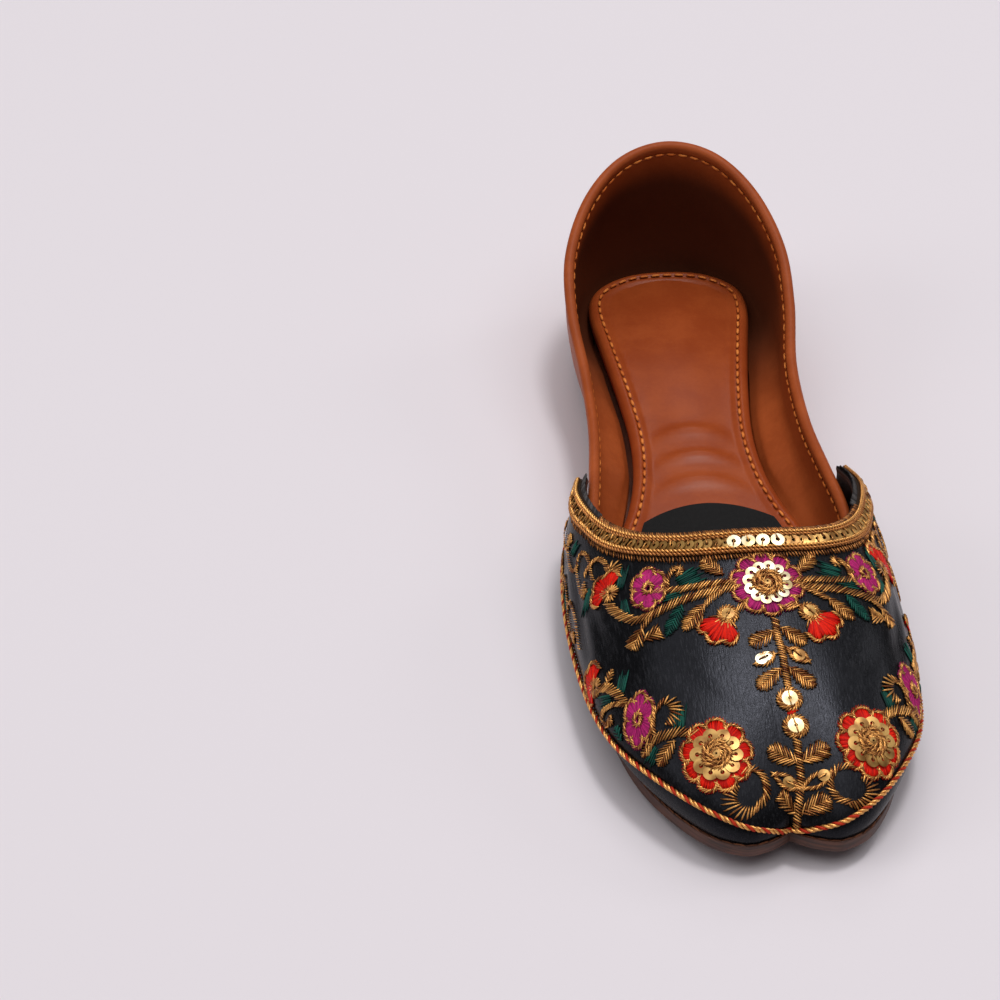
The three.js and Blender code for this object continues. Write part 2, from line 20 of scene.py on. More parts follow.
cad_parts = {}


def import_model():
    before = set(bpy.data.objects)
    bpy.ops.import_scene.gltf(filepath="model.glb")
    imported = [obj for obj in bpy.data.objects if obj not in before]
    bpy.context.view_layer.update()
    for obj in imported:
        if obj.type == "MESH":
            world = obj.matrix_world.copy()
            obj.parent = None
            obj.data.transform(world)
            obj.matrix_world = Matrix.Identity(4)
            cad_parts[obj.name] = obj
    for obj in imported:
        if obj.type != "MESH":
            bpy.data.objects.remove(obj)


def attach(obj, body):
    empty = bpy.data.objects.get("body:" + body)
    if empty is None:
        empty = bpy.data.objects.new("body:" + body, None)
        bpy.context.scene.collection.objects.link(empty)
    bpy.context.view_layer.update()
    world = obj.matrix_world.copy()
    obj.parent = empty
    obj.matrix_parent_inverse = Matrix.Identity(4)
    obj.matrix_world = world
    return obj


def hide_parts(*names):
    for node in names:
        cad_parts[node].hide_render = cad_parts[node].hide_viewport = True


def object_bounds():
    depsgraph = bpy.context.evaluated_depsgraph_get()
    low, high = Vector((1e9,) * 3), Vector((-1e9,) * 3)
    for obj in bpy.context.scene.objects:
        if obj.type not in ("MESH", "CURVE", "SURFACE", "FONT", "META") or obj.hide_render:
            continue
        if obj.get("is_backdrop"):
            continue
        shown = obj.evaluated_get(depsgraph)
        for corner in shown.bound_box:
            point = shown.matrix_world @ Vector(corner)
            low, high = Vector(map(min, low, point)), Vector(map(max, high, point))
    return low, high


Array = np.ndarray
Colour = tuple[float, float, float]
Spot = tuple[float, float]

log = logging.getLogger("mojari")

# Driving sizes of the last and the shoe, in millimetres, as in the part's source
MM = 0.001
LENGTH = 250.0
BALL_WIDTH = 78.0
WAIST_WIDTH = 52.8
HEEL_WIDTH = 55.2
SOLE_THICK = 3.6
TOE_SPRING = 5.6
SPRING_LENGTH = 75.0
NOTCH_DEPTH = 5.8
NOTCH_HALF_WIDTH = 13.5
NOTCH_FADE = 0.35
NOTCH_LAST_ROW = 6
TOE_SWING = 1.0
END_SWING = 2.7
SWING_START = 0.44
SWING_REST = 0.3
CLEARANCE = 0.3
INSTEP_HEIGHT = 46.4
SIDE_HEIGHT = 27.0
HEEL_HEIGHT = 57.0
VAMP_WALL = 1.8
QUARTER_WALL = 2.2
UPPER_INSET = 0.8
COUNTER_INSET = 0.4
UNDER_VAMP_INSET = UPPER_INSET + VAMP_WALL + 2 * CLEARANCE
STEP_OUT_FROM = 8.8
STEP_OUT_TO = 12.0
ROOT = "root"


class OutlineRow(NamedTuple):
    """A row of an outline: across is a share of half the width, along one of the length."""

    width: float
    across: float
    along: float


class VampRib(NamedTuple):
    """A rib of the vamp; pull, push and up are shares of the instep height."""

    foot: float
    across: float
    along: float
    up: float
    facing: float
    pull: float
    dip: float
    push: float
    rise: float


class QuarterRib(NamedTuple):
    """A rib of the quarter; up, push and pull are shares of the named height."""

    foot: float
    width: float
    across: float
    along: float
    height: float
    up: float
    facing: float
    push: float
    rise: float
    pull: float
    dip: float


def quarter_ribs(width: float, height: float, rows: Iterable[tuple[float, ...]]) -> tuple[QuarterRib, ...]:
    """Make the quarter's ribs from rows that share a width and a height."""
    return tuple(QuarterRib(foot, width, across, along, height, *rest) for foot, across, along, *rest in rows)


def outline_rows(*groups: tuple[float, tuple[Spot, ...]]) -> tuple[OutlineRow, ...]:
    """Make the rows of an outline from groups of (across, along) that share a width."""
    return tuple(OutlineRow(width, *spot) for width, spots in groups for spot in spots)


SOLE_OUTLINE = outline_rows(
    (BALL_WIDTH, ((0, -0.0024), (0.167, -0.002), (0.346, 0.0008), (0.538, 0.02), (0.731, 0.066),
                  (0.885, 0.128), (0.974, 0.212), (1, 0.312), (0.949, 0.412), (0.841, 0.512))),
    (WAIST_WIDTH, ((1.076, 0.612), (1, 0.704))),
    (HEEL_WIDTH, ((0.993, 0.8), (1, 0.876), (0.884, 0.938), (0.562, 0.984), (0, 1))),
)

BED_OUTLINE = outline_rows(
    (BALL_WIDTH, ((0, 0.054), (0.256, 0.06), (0.487, 0.084), (0.679, 0.132), (0.808, 0.208), (0.859, 0.3),
                  (0.833, 0.368), (0.751, 0.432), (0.654, 0.492))),
    (WAIST_WIDTH, ((0.826, 0.536), (0.716, 0.592), (0.678, 0.664))),
    (HEEL_WIDTH, ((0.71, 0.752), (0.808, 0.84), (0.873, 0.902), (0.837, 0.94), (0.67, 0.966), (0.38, 0.984),
                  (0, 0.9892))),
)

VAMP_RIBS = (
    VampRib(0, 0, 0.319, 1, 0, 0.539, 20, 0.28, 68),
    VampRib(1, 0.231, 0.32, 0.991, 10, 0.515, 20, 0.282, 75),
    VampRib(2.4, 0.462, 0.329, 0.946, 27, 0.461, 21, 0.328, 70),
    VampRib(3.7, 0.674, 0.351, 0.871, 49, 0.328, 23, 0.401, 55),
    VampRib(5, 0.831, 0.387, 0.793, 69, 0.157, 34, 0.455, 40),
    VampRib(6.6, 0.933, 0.432, 0.741, 86, 0.02, 50, 0.386, 31),
    VampRib(8.2, 0.956, 0.47, 0.703, 93, 0.024, 60, 0.381, 34),
    VampRib(9.3, 0.915, 0.512, 0.623, 97, 0.054, 66, 0.284, 48),
)

QUARTER_RIBS = (
    *quarter_ribs(HEEL_WIDTH, HEEL_HEIGHT, (
        (16, 0, 1.011, 1, 180, 0.28, 62, 0.21, 82),
        (15.2, 0.507, 0.994, 0.965, 156, 0.26, 62, 0.21, 82),
        (14.2, 0.906, 0.948, 0.863, 128, 0.25, 62, 0.19, 84),
        (13.1, 1.152, 0.878, 0.727, 105, 0.21, 60, 0.16, 86),
        (12.1, 1.187, 0.802, 0.602, 94, 0.18, 58, 0.14, 86),
    )),
    *quarter_ribs(WAIST_WIDTH, SIDE_HEIGHT, (
        (11, 1.163, 0.714, 1.044, 90, 0.30, 60, 0.26, 84),
        (10, 1.163, 0.612, 1, 88, 0.30, 62, 0.26, 82),
        (9.1, 1.246, 0.524, 1, 86, 0.30, 62, 0.26, 82),
        (8.5, 1.314, 0.468, 0.985, 85, 0.30, 62, 0.26, 80),
        (8, 1.333, 0.42, 0.93, 85, 0.30, 62, 0.26, 80),
        (7.75, 1.32, 0.388, 0.66, 85, 0.20, 62, 0.16, 80),
    )),
)

RISING = np.array([0.0, 0.0, 1.0])
OTHER_SIDE = np.array([-1.0, 1.0, 1.0])
PANEL_INSET = 5.5
HEEL_MIDDLE = np.array([0.0, 55.0, 32.0])
LAST_VAMP_RIB = len(VAMP_RIBS) - 1
LAST_QUARTER_RIB = len(QUARTER_RIBS) - 1
HEEL_ROW = len(SOLE_OUTLINE) - 1

# Height of the seam cord above the sole, along the wall, for each rib of the vamp
SEAM_RISE = (1.6, 3.4, 7.0, 10.8, 12.4, 12.6, 12.4, 12.0)


def cubic(padded: Array, start: Array, f: Array) -> Array:
    """Read a smooth curve through a column of values.

    Args:
        padded: The column with one value more at each end.
        start: The row before each place that is read.
        f: The share of the way to the next row.

    Returns:
        The values read.
    """
    a, b, c, d = (padded[start + i] for i in range(4))
    square = (2 * a - 5 * b + 4 * c - d) * f**2
    cube = (3 * b - a - 3 * c + d) * f**3
    return 0.5 * (2 * b + (c - a) * f + square + cube)


def smooth(values: Sequence[float], rows: Array, mirror: float = 1.0) -> Array:
    """Read one column of a table at fractional rows, by a smooth curve through its rows.

    Args:
        values: The column, one value a row.
        rows: Fractional rows to read.
        mirror: -1 for a column that changes sign before the first row.

    Returns:
        One value for each of the rows.
    """
    column = np.asarray(values, float)
    last = len(column) - 1
    clamped = np.clip(rows, 0, last)
    start = np.minimum(np.floor(clamped), last - 1).astype(int)
    f = clamped - start
    return cubic(np.concatenate([[mirror * column[1]], column, [2 * column[-1] - column[-2]]]), start, f)


def smoothstep(value: Array, low: float, high: float) -> Array:
    """Rise smoothly from 0 at low to 1 at high."""
    share = np.clip((value - low) / (high - low), 0, 1)
    return share * share * (3 - 2 * share)


def unit(vectors: Array) -> Array:
    """Scale vectors to length one."""
    return vectors / np.maximum(np.linalg.norm(vectors, axis=-1, keepdims=True), 1e-12)


def spring_at(along: Array) -> Array:
    """Give the height by which the toe spring lifts the sole, from the distance to the toe."""
    return TOE_SPRING * np.maximum((SPRING_LENGTH - along) / SPRING_LENGTH, 0) ** 2


def place(points: Array) -> Array:
    """Turn last coordinates (across, along from the toe, up) into the part's frame.

    Args:
        points: Points in millimetres, the last axis holding the three coordinates.

    Returns:
        The points in the part's frame, in millimetres.
    """
    along = points[..., 1]
    end = 2 * along / LENGTH - 1
    toward = np.maximum(SWING_START - along / LENGTH, 0) / SWING_START
    swing = TOE_SWING * toward**2 + END_SWING * (end**2 - SWING_REST)
    placed = points.copy()
    placed[..., 0] += swing
    placed[..., 1] -= LENGTH / 2
    return placed


def outline_points(table: Sequence[OutlineRow], rows: Array, inset: Array | float) -> Array:
    """Give points of an outline in plan, moved inwards.

    Args:
        table: The outline's rows, from the toe round to the heel.
        rows: Fractional rows.
        inset: How far inwards each point moves.

    Returns:
        Points (across, along), one for each row.
    """
    across = [r.across * r.width / 2 for r in table]
    along = [r.along * LENGTH for r in table]
    across.append(-across[-2])
    along.append(along[-2])

    def at(row: Array) -> Array:
        return np.stack([smooth(across, row, -1), smooth(along, row)], -1)

    step = 0.02
    tangent = unit(at(rows + step) - at(np.maximum(rows - step, 0)))
    inward = np.stack([-tangent[..., 1], tangent[..., 0]], -1)
    return at(rows) + inward * np.asarray(inset, float)[..., None]


def sole_points(rows: Array, inset: Array | float, notch_share: float = 1.0) -> Array:
    """Give points of the sole's outline, with the notch between the toe's two lobes."""
    points = outline_points(SOLE_OUTLINE, rows, inset)
    near = np.maximum(1 - np.abs(points[..., 0]) / NOTCH_HALF_WIDTH, 0)
    front = rows < NOTCH_LAST_ROW
    points[..., 1] += np.where(front, notch_share * NOTCH_DEPTH * near**2, 0)
    return points


def on_sole(points: Array) -> Array:
    """Stand plan points on the sole, a clearance above it."""
    up = SOLE_THICK + CLEARANCE + spring_at(points[..., 1])
    return np.concatenate([points, up[..., None]], -1)


def rib_controls(top: Array, foot: Array, soft_foot: Array, shape: dict[str, Array]) -> Array:
    """Give the four control points of each rib, from its top down to its foot.

    Args:
        top: Top points.
        foot: Foot points.
        soft_foot: Foot points that the lower handle starts from.
        shape: facing, dip and rise in degrees, pull and push in millimetres.

    Returns:
        An array (ribs, 4, 3) of control points.
    """
    facing, dip, rise = (np.radians(shape[key]) for key in ("facing", "dip", "rise"))
    out = np.stack([np.sin(facing), -np.cos(facing), np.zeros_like(facing)], -1)
    pull, push = shape["pull"][:, None], shape["push"][:, None]
    upper = top + pull * (np.cos(dip)[:, None] * out - np.sin(dip)[:, None] * RISING)
    lower = soft_foot + push * (np.cos(rise)[:, None] * out + np.sin(rise)[:, None] * RISING)
    return np.stack([top, upper, lower, foot], 1)


def vamp_controls(u: Array) -> Array:
    """Give the vamp's ribs at fractional rows; negative rows are on the other side."""
    row = np.abs(u)
    columns = {name: [getattr(r, name) for r in VAMP_RIBS] for name in VampRib._fields}
    odd = {"foot", "across", "facing"}
    read = {name: smooth(v, row, -1 if name in odd else 1) for name, v in columns.items()}
    top = np.stack([read["across"] * BALL_WIDTH / 2, read["along"] * LENGTH, read["up"] * INSTEP_HEIGHT], -1)
    foot_row = np.maximum(read["foot"], 0)
    foot = on_sole(sole_points(foot_row, UPPER_INSET))
    soft_foot = on_sole(sole_points(foot_row, UPPER_INSET, NOTCH_FADE))
    shape = {key: read[key] for key in ("facing", "dip", "rise")}
    shape["pull"] = read["pull"] * INSTEP_HEIGHT
    shape["push"] = read["push"] * INSTEP_HEIGHT
    controls = rib_controls(top, foot, soft_foot, shape)
    controls[..., 0] *= np.where(u < 0, -1.0, 1.0)[:, None]
    return controls


def quarter_inset(row: Array) -> Array:
    """Give what the quarter's foot keeps from the sole's edge: more inside the vamp."""
    return UNDER_VAMP_INSET + (COUNTER_INSET - UNDER_VAMP_INSET) * smoothstep(row, STEP_OUT_FROM, STEP_OUT_TO)


def quarter_controls(w: Array) -> Array:
    """Give the quarter's ribs at fractional rows from the heel; positive rows are on the left."""
    row = np.abs(w)

    def even(value: Callable[[QuarterRib], float]) -> Array:
        return smooth([value(r) for r in QUARTER_RIBS], row)

    def odd(value: Callable[[QuarterRib], float]) -> Array:
        return smooth([value(r) for r in QUARTER_RIBS], row, -1)

    across = odd(lambda r: r.across * r.width / 2)
    top = np.stack([across, even(lambda r: r.along) * LENGTH, even(lambda r: r.up * r.height)], -1)
    foot_row = HEEL_ROW - odd(lambda r: HEEL_ROW - r.foot)
    foot = on_sole(sole_points(foot_row, quarter_inset(foot_row)))
    shape = {
        "facing": 180 - odd(lambda r: 180 - r.facing),
        "pull": even(lambda r: r.pull * r.height),
        "dip": even(lambda r: r.dip),
        "push": even(lambda r: r.push * r.height),
        "rise": even(lambda r: r.rise),
    }
    controls = rib_controls(top, foot, foot, shape)
    controls[..., 0] *= np.where(w > 0, -1.0, 1.0)[:, None]
    return controls


class RibbedFace:
    """A face made of ribs, read at fractional ribs and shares of their length."""

    STEPS = 80
    SIDE_STEP = 0.03

    def __init__(self, controls: Callable[[Array], Array]) -> None:
        """Keep the function that gives the ribs' control points."""
        self.controls = controls

    @staticmethod
    def _basis(t: Array) -> Array:
        """Give the weights of a cubic curve's control points."""
        return np.stack([(1 - t) ** 3, 3 * (1 - t) ** 2 * t, 3 * (1 - t) * t**2, t**3], -1)

    def lengths(self, u: Array) -> Array:
        """Measure the ribs at fractional rows u, in millimetres."""
        line = np.einsum("tk,nkx->ntx", self._basis(np.linspace(0, 1, self.STEPS + 1)), self.controls(u))
        return np.linalg.norm(np.diff(line, axis=1), axis=2).sum(1)

    def _read(self, u: Array, shares: Array) -> tuple[Array, Array]:
        """Give points and downward tangents at shares of the length of each rib."""
        controls = self.controls(u)
        steps = np.linspace(0, 1, self.STEPS + 1)
        line = np.einsum("tk,nkx->ntx", self._basis(steps), controls)
        pieces = np.linalg.norm(np.diff(line, axis=1), axis=2)
        run = np.concatenate([np.zeros((len(u), 1)), np.cumsum(pieces, 1)], 1)
        wanted = np.clip(shares, 0, 1) * run[:, -1:]
        t = np.stack([np.interp(w, r, steps) for w, r in zip(wanted, run)])
        points = np.einsum("nmk,nkx->nmx", self._basis(t), controls)
        slopes = np.stack([(1 - t) ** 2, 2 * (1 - t) * t, t**2], -1)
        down = np.einsum("nmk,nkx->nmx", slopes, np.diff(controls, axis=1))
        return points, unit(down)

    def read(self, u: Array, shares: Array) -> tuple[Array, Array]:
        """Give points and outward normals, in last coordinates.

        Args:
            u: Fractional ribs.
            shares: For each rib, shares of its length from the top down.

        Returns:
            Points and normals, each (ribs, shares, 3).
        """
        points, down = self._read(u, shares)
        ahead, _ = self._read(u + self.SIDE_STEP, shares)
        behind, _ = self._read(u - self.SIDE_STEP, shares)
        return points, unit(np.cross(down, ahead - behind))

    def raised(self, u: Array, below: Array, out: Array) -> Array:
        """Give points that stand out from the face, in the part's frame.

        Args:
            u: Fractional ribs.
            below: For each rib, distances from its top along it, in millimetres.
            out: How far each point stands out.

        Returns:
            Points (ribs, distances, 3).
        """
        points, normals = self.read(u, below / self.lengths(u)[:, None])
        return place(points + normals * out[..., None])


VAMP_FACE = RibbedFace(vamp_controls)
QUARTER_FACE = RibbedFace(quarter_controls)


def grid_faces(columns: int, rows: int) -> list[tuple[int, int, int, int]]:
    """Join a grid of points, kept column by column, with four-sided faces."""
    pairs = [(i * rows + j, (i + 1) * rows + j) for i in range(columns - 1) for j in range(rows - 1)]
    return [(here, here + 1, over + 1, over) for here, over in pairs]


def linked(name: str, data: bpy.types.ID) -> bpy.types.Object:
    """Make an object of this data and link it to the scene."""
    made = bpy.data.objects.new(name, data)
    bpy.context.scene.collection.objects.link(made)
    return made


def make_piece(name: str, points: Array, faces: Iterable[Sequence[int]],
               sharp: float = 40.0) -> bpy.types.Object:
    """Make a smooth-shaded closed piece.

    Args:
        name: The piece's name.
        points: Points in millimetres.
        faces: Corner numbers of each face.
        sharp: Angle in degrees past which an edge stays sharp.

    Returns:
        The object, at the origin, in metres.
    """
    mesh = bpy.data.meshes.new(name)
    mesh.from_pydata((points * MM).tolist(), [], [tuple(f) for f in faces])
    work = bmesh.new()
    work.from_mesh(mesh)
    bmesh.ops.remove_doubles(work, verts=work.verts, dist=1e-7)
    bmesh.ops.dissolve_degenerate(work, edges=work.edges, dist=1e-7)
    bmesh.ops.recalc_face_normals(work, faces=work.faces)
    work.to_mesh(mesh)
    work.free()
    mesh.shade_smooth()
    mesh.set_sharp_from_angle(angle=math.radians(sharp))
    return linked(name, mesh)


def ring_wall(name: str, sections: Array) -> bpy.types.Object:
    """Make a closed wall from sections that each run all the way round it.

    Args:
        name: The piece's name.
        sections: Points (columns, around, 3) in millimetres.

    Returns:
        The piece.
    """
    columns, around, _ = sections.shape
    closed = np.concatenate([sections, sections[:, :1]], 1)
    faces = grid_faces(columns, around + 1)
    for column in (0, columns - 1):
        base = column * (around + 1)
        for j in range(around // 2):
            other = around - 1 - j
            if other - 1 > j:
                faces.append((base + j, base + j + 1, base + other - 1, base + other))
    return make_piece(name, closed.reshape(-1, 3), faces)


def operator(operation: str, swapped: bool = False) -> Callable[[Channel, Channel | float], Channel]:
    """Make the method of an arithmetic sign.

    Args:
        operation: The Math node's operation.
        swapped: Whether the channel is the right-hand value.

    Returns:
        The method, which adds a Math node.
    """
    def method(self: Channel, other: Channel | float) -> Channel:
        return self.maths(operation, other, self) if swapped else self.maths(operation, self, other)

    return method


class Channel:
    """A socket of a node tree whose arithmetic adds Math nodes."""

    def __init__(self, graph: Graph, socket: bpy.types.NodeSocket) -> None:
        """Keep the socket and the graph that it belongs to."""
        self.graph = graph
        self.socket = socket

    def maths(self, operation: str, *values: object) -> Channel:
        """Add a Math node and give its result."""
        return self.graph.channel("ShaderNodeMath", {"operation": operation}, dict(enumerate(values)))

    __add__ = operator("ADD")
    __radd__ = operator("ADD", True)
    __sub__ = operator("SUBTRACT")
    __rsub__ = operator("SUBTRACT", True)
    __mul__ = operator("MULTIPLY")
    __rmul__ = operator("MULTIPLY", True)

    def sine(self) -> Channel:
        """Take the sine."""
        return self.maths("SINE", self)

    def step(self, low: float, high: float) -> Channel:
        """Rise smoothly from 0 at low to 1 at high."""
        inputs = {"Value": self, "From Min": low, "From Max": high, "To Min": 0.0, "To Max": 1.0}
        return self.graph.channel("ShaderNodeMapRange", {"interpolation_type": "SMOOTHSTEP"}, inputs)


class Graph:
    """Adds nodes to a shader tree or a geometry tree."""

    def __init__(self, tree: bpy.types.NodeTree) -> None:
        """Keep the tree."""
        self.tree = tree

    def node(self, kind: str, settings: dict | None = None, inputs: dict | None = None) -> bpy.types.Node:
        """Add a node.

        Args:
            kind: The node's type.
            settings: Properties, set before the inputs.
            inputs: Values, sockets or channels for its input sockets, by name or number.

        Returns:
            The new node.
        """
        node = self.tree.nodes.new(kind)
        for key, value in (settings or {}).items():
            setattr(node, key, value)
        self.fill(node, inputs or {})
        return node

    def fill(self, node: bpy.types.Node, inputs: dict) -> None:
        """Give inputs of a node, by name or number, their values, sockets or channels."""
        for key, value in inputs.items():
            self.feed(node.inputs[key], value)

    def feed(self, socket: bpy.types.NodeSocket, value: object) -> None:
        """Link a socket or a channel to an input, or set its value."""
        source = value.socket if isinstance(value, Channel) else value
        if isinstance(source, bpy.types.NodeSocket):
            self.tree.links.new(source, socket)
        else:
            socket.default_value = source

    def channel(self, kind: str, settings: dict | None = None, inputs: dict | None = None,
                output: str | int = 0) -> Channel:
        """Add a node and give one of its outputs as a channel."""
        return Channel(self, self.node(kind, settings, inputs).outputs[output])

    def mix(self, share: Channel | float, first: object, second: object) -> bpy.types.NodeSocket:
        """Mix two colours by a share."""
        node = self.node("ShaderNodeMix", {"data_type": "RGBA"})
        sockets = {s.identifier: s for s in node.inputs}
        self.feed(sockets["Factor_Float"], share)
        self.feed(sockets["A_Color"], colour_value(first))
        self.feed(sockets["B_Color"], colour_value(second))
        return next(s for s in node.outputs if s.identifier == "Result_Color")

    def noise(self, place_on: object, size: float, detail: float = 2.0, roughness: float = 0.5) -> Channel:
        """Give a noise with grains of a size in millimetres."""
        inputs = {"Vector": place_on, "Scale": 1 / (size * MM), "Detail": detail, "Roughness": roughness}
        return self.channel("ShaderNodeTexNoise", None, inputs)

    def where(self) -> Channel:
        """Give Object coordinates."""
        return self.channel("ShaderNodeTexCoord", None, None, "Object")

    def stretched(self, scale: Colour) -> Channel:
        """Give Object coordinates scaled along each axis."""
        return self.channel("ShaderNodeMapping", None, {"Vector": self.where(), "Scale": scale})

    def marked(self, name: str) -> Channel:
        """Read a number that the mesh carries."""
        return self.channel("ShaderNodeAttribute", {"attribute_name": name}, None, "Fac")


def colour_value(value: object) -> object:
    """Give a colour four numbers; leave sockets and channels alone."""
    if isinstance(value, tuple) and len(value) == 3:
        return (*value, 1.0)
    return value


def seen(red: int, green: int, blue: int) -> Colour:
    """Turn a colour as seen on a screen, in steps of 255, into linear light."""
    shares = (c / 255 for c in (red, green, blue))
    return tuple(c / 12.92 if c <= 0.04045 else ((c + 0.055) / 1.055) ** 2.4 for c in shares)


@dataclass(frozen=True)
class Finish:
    """What all finishes share: a name, a slot, and the two tones of the colour."""

    name: str
    slot: str
    light: Colour
    dark: Colour
    roughness: float

    def shade(self, graph: Graph, surface: bpy.types.Node) -> None:
        """Lay the finish's pattern on the surface; each kind of finish has its own."""
        raise NotImplementedError

    def material(self) -> bpy.types.Material:
        """Make the finish's material, once; the solids' own materials have the bare names.

        Returns:
            The finish's material.
        """
        key = f"{self.name}_finish"
        known = bpy.data.materials.get(key)
        if known is not None:
            return known
        made = bpy.data.materials.new(key)
        made.use_nodes = True
        surface = made.node_tree.nodes["Principled BSDF"]
        self.shade(Graph(made.node_tree), surface)
        return made

    def put_on(self, piece: bpy.types.Object) -> None:
        """Give a piece this finish."""
        piece.data.materials.clear()
        piece.data.materials.append(self.material())

    @staticmethod
    def bump(graph: Graph, height: Channel, depth: float, surface: bpy.types.Node) -> None:
        """Turn a height into a bump of a depth in millimetres."""
        inputs = {"Height": height, "Strength": 1.0, "Distance": depth * MM}
        graph.fill(surface, {"Normal": graph.channel("ShaderNodeBump", None, inputs)})


@dataclass(frozen=True)
class Leather(Finish):
    """Leather with pores, soft blotches, fine hair lines along the shoe whose paler colour is a painted
    sheen, a polish, and painted shade where the mesh marks it.
    """

    pore: float = 0.7
    pore_depth: float = 0.03
    blotch: float = 14.0
    hair: float = 0.0
    coat: float = 0.1
    shine: float = 0.5
    gloss: Colour = (1.0, 1.0, 1.0)
    coat_roughness: float = 0.28

    def shade(self, graph: Graph, surface: bpy.types.Node) -> None:
        """Lay pores, blotches, hair lines with their painted sheen, and the marked painted shade on the
        surface.
        """
        where = graph.where()
        blotch = graph.noise(where, self.blotch, 4.0, 0.6)
        fine = graph.noise(where, self.pore * 2.5, 3.0, 0.6)
        cells = graph.channel("ShaderNodeTexVoronoi", {"feature": "DISTANCE_TO_EDGE"},
                              {"Vector": where, "Scale": 1 / (self.pore * MM)})
        pores = cells.step(0.0, 0.22)
        share = (blotch * 0.75 + fine * 0.25).step(0.36, 0.66)
        base = graph.mix(share, self.dark, self.light)
        height = pores * 0.6 + fine * 0.8
        if self.hair:
            strands = graph.noise(graph.stretched((1.0, 0.07, 0.6)), 0.5, 3.0, 0.6)
            # Painted sheen: the hair lines are paler in the base colour, as streaks of sheen; their bump is
            # real texture.
            pale = tuple(min(c * 4.2 + 0.01, 1) for c in self.light)
            base = graph.mix(strands.step(0.5, 0.72) * self.hair, base, pale)
            height = height * 0.12 + strands * 5.0
            blotch = blotch + (strands - 0.5) * 1.4
        # Painted shade: darken the colour where the mesh marks the heel's shade, deep inside the quarter.
        base = graph.mix(graph.marked("painted_heel_shade"), base, tuple(c * 0.12 + 0.006 for c in self.dark))
        graph.fill(surface, {
            "Base Color": base, "Roughness": (blotch - 0.5) * 0.14 + (1 - pores) * 0.06 + self.roughness,
            "Specular Tint": (*self.gloss, 1.0), "Specular IOR Level": self.shine,
            "Coat Weight": self.coat, "Coat Roughness": self.coat_roughness})
        self.bump(graph, height, self.pore_depth, surface)


@dataclass(frozen=True)
class StackedLeather(Finish):
    """A leather edge whose layers show as fine lines."""

    layer: float = 0.5

    def shade(self, graph: Graph, surface: bpy.types.Node) -> None:
        """Lay the layers on the surface."""
        layers = graph.noise(graph.stretched((0.05, 0.05, 1.0)), self.layer, 2.0)
        where = graph.where()
        scuff = graph.noise(where, 6.0, 5.0, 0.65)
        share = (layers * 0.6 + scuff * 0.4).step(0.38, 0.64)
        graph.fill(surface, {"Base Color": graph.mix(share, self.dark, self.light),
                             "Roughness": scuff * 0.3 + (self.roughness - 0.15)})
        self.bump(graph, layers + scuff * 0.5, 0.06, surface)


@dataclass(frozen=True)
class Cloth(Finish):
    """A plain weave."""

    pitch: float = 0.5
    sheen: float = 0.03
    shine: float = 0.15

    def shade(self, graph: Graph, surface: bpy.types.Node) -> None:
        """Lay the weave on the surface."""
        where = graph.where()
        split = graph.node("ShaderNodeSeparateXYZ", None, {0: where})
        turn = 2 * math.pi / (self.pitch * MM)
        warp = (Channel(graph, split.outputs["X"]) * turn).sine()
        weft = (Channel(graph, split.outputs["Y"]) * turn).sine()
        weave = warp * weft * 0.5 + 0.5
        lint = graph.noise(where, 1.2, 4.0, 0.7)
        share = (weave * 0.6 + lint * 0.4).step(0.3, 0.7)
        graph.fill(surface, {"Base Color": graph.mix(share, self.dark, self.light),
                             "Roughness": self.roughness, "Sheen Weight": self.sheen,
                             "Specular IOR Level": self.shine})
        self.bump(graph, weave + lint * 0.6, 0.09, surface)


@dataclass(frozen=True)
class Thread(Finish):
    """Sewing or metal thread: its tone changes from stitch to stitch, with painted shade where it dives in
    and where twisted strands turn under.
    """

    metal: float = 0.0
    grain: float = 0.55
    metal_shine: float = 0.5
    plain_shine: float = 0.12

    def shade(self, graph: Graph, surface: bpy.types.Node) -> None:
        """Lay the stitches' own tones and the thread's fine twist on the surface."""
        where = graph.where()
        # tone: random from stitch to stitch; on twisted strands it is painted shade, lighter on top of the
        # cord.
        own = graph.marked("tone")
        reach = graph.marked("reach")
        fine = graph.noise(where, self.grain, 3.0, 0.6)
        wide = graph.noise(where, 8.0, 2.0)
        share = (own * 0.55 + fine * 0.5 + wide * 0.3).step(0.35, 1.05)
        base = graph.mix(share, self.dark, self.light)
        # Painted shade: the ends of a stitch, where it dives into the leather, darken towards this tone.
        painted_dive_shade = tuple(c * 0.18 for c in self.dark)
        graph.fill(surface, {
            "Base Color": graph.mix(reach.step(0.45, 1.0) * 0.85, base, painted_dive_shade), "Roughness": self.roughness,
            "Metallic": self.metal,
            "Specular IOR Level": self.metal_shine if self.metal else self.plain_shine})
        self.bump(graph, graph.noise(where, self.grain * 0.5, 2.0), 0.08, surface)


@dataclass(frozen=True)
class Foil(Finish):
    """Pressed metal foil, as of a sequin."""

    metal: float = 0.6

    def shade(self, graph: Graph, surface: bpy.types.Node) -> None:
        """Lay slight changes of tone and gloss on the surface."""
        where = graph.where()
        tone = graph.noise(where, 5.0, 2.0)
        graph.fill(surface, {"Base Color": graph.mix(tone.step(0.35, 0.65), self.dark, self.light),
                             "Roughness": tone * 0.2 + (self.roughness - 0.1), "Metallic": self.metal})


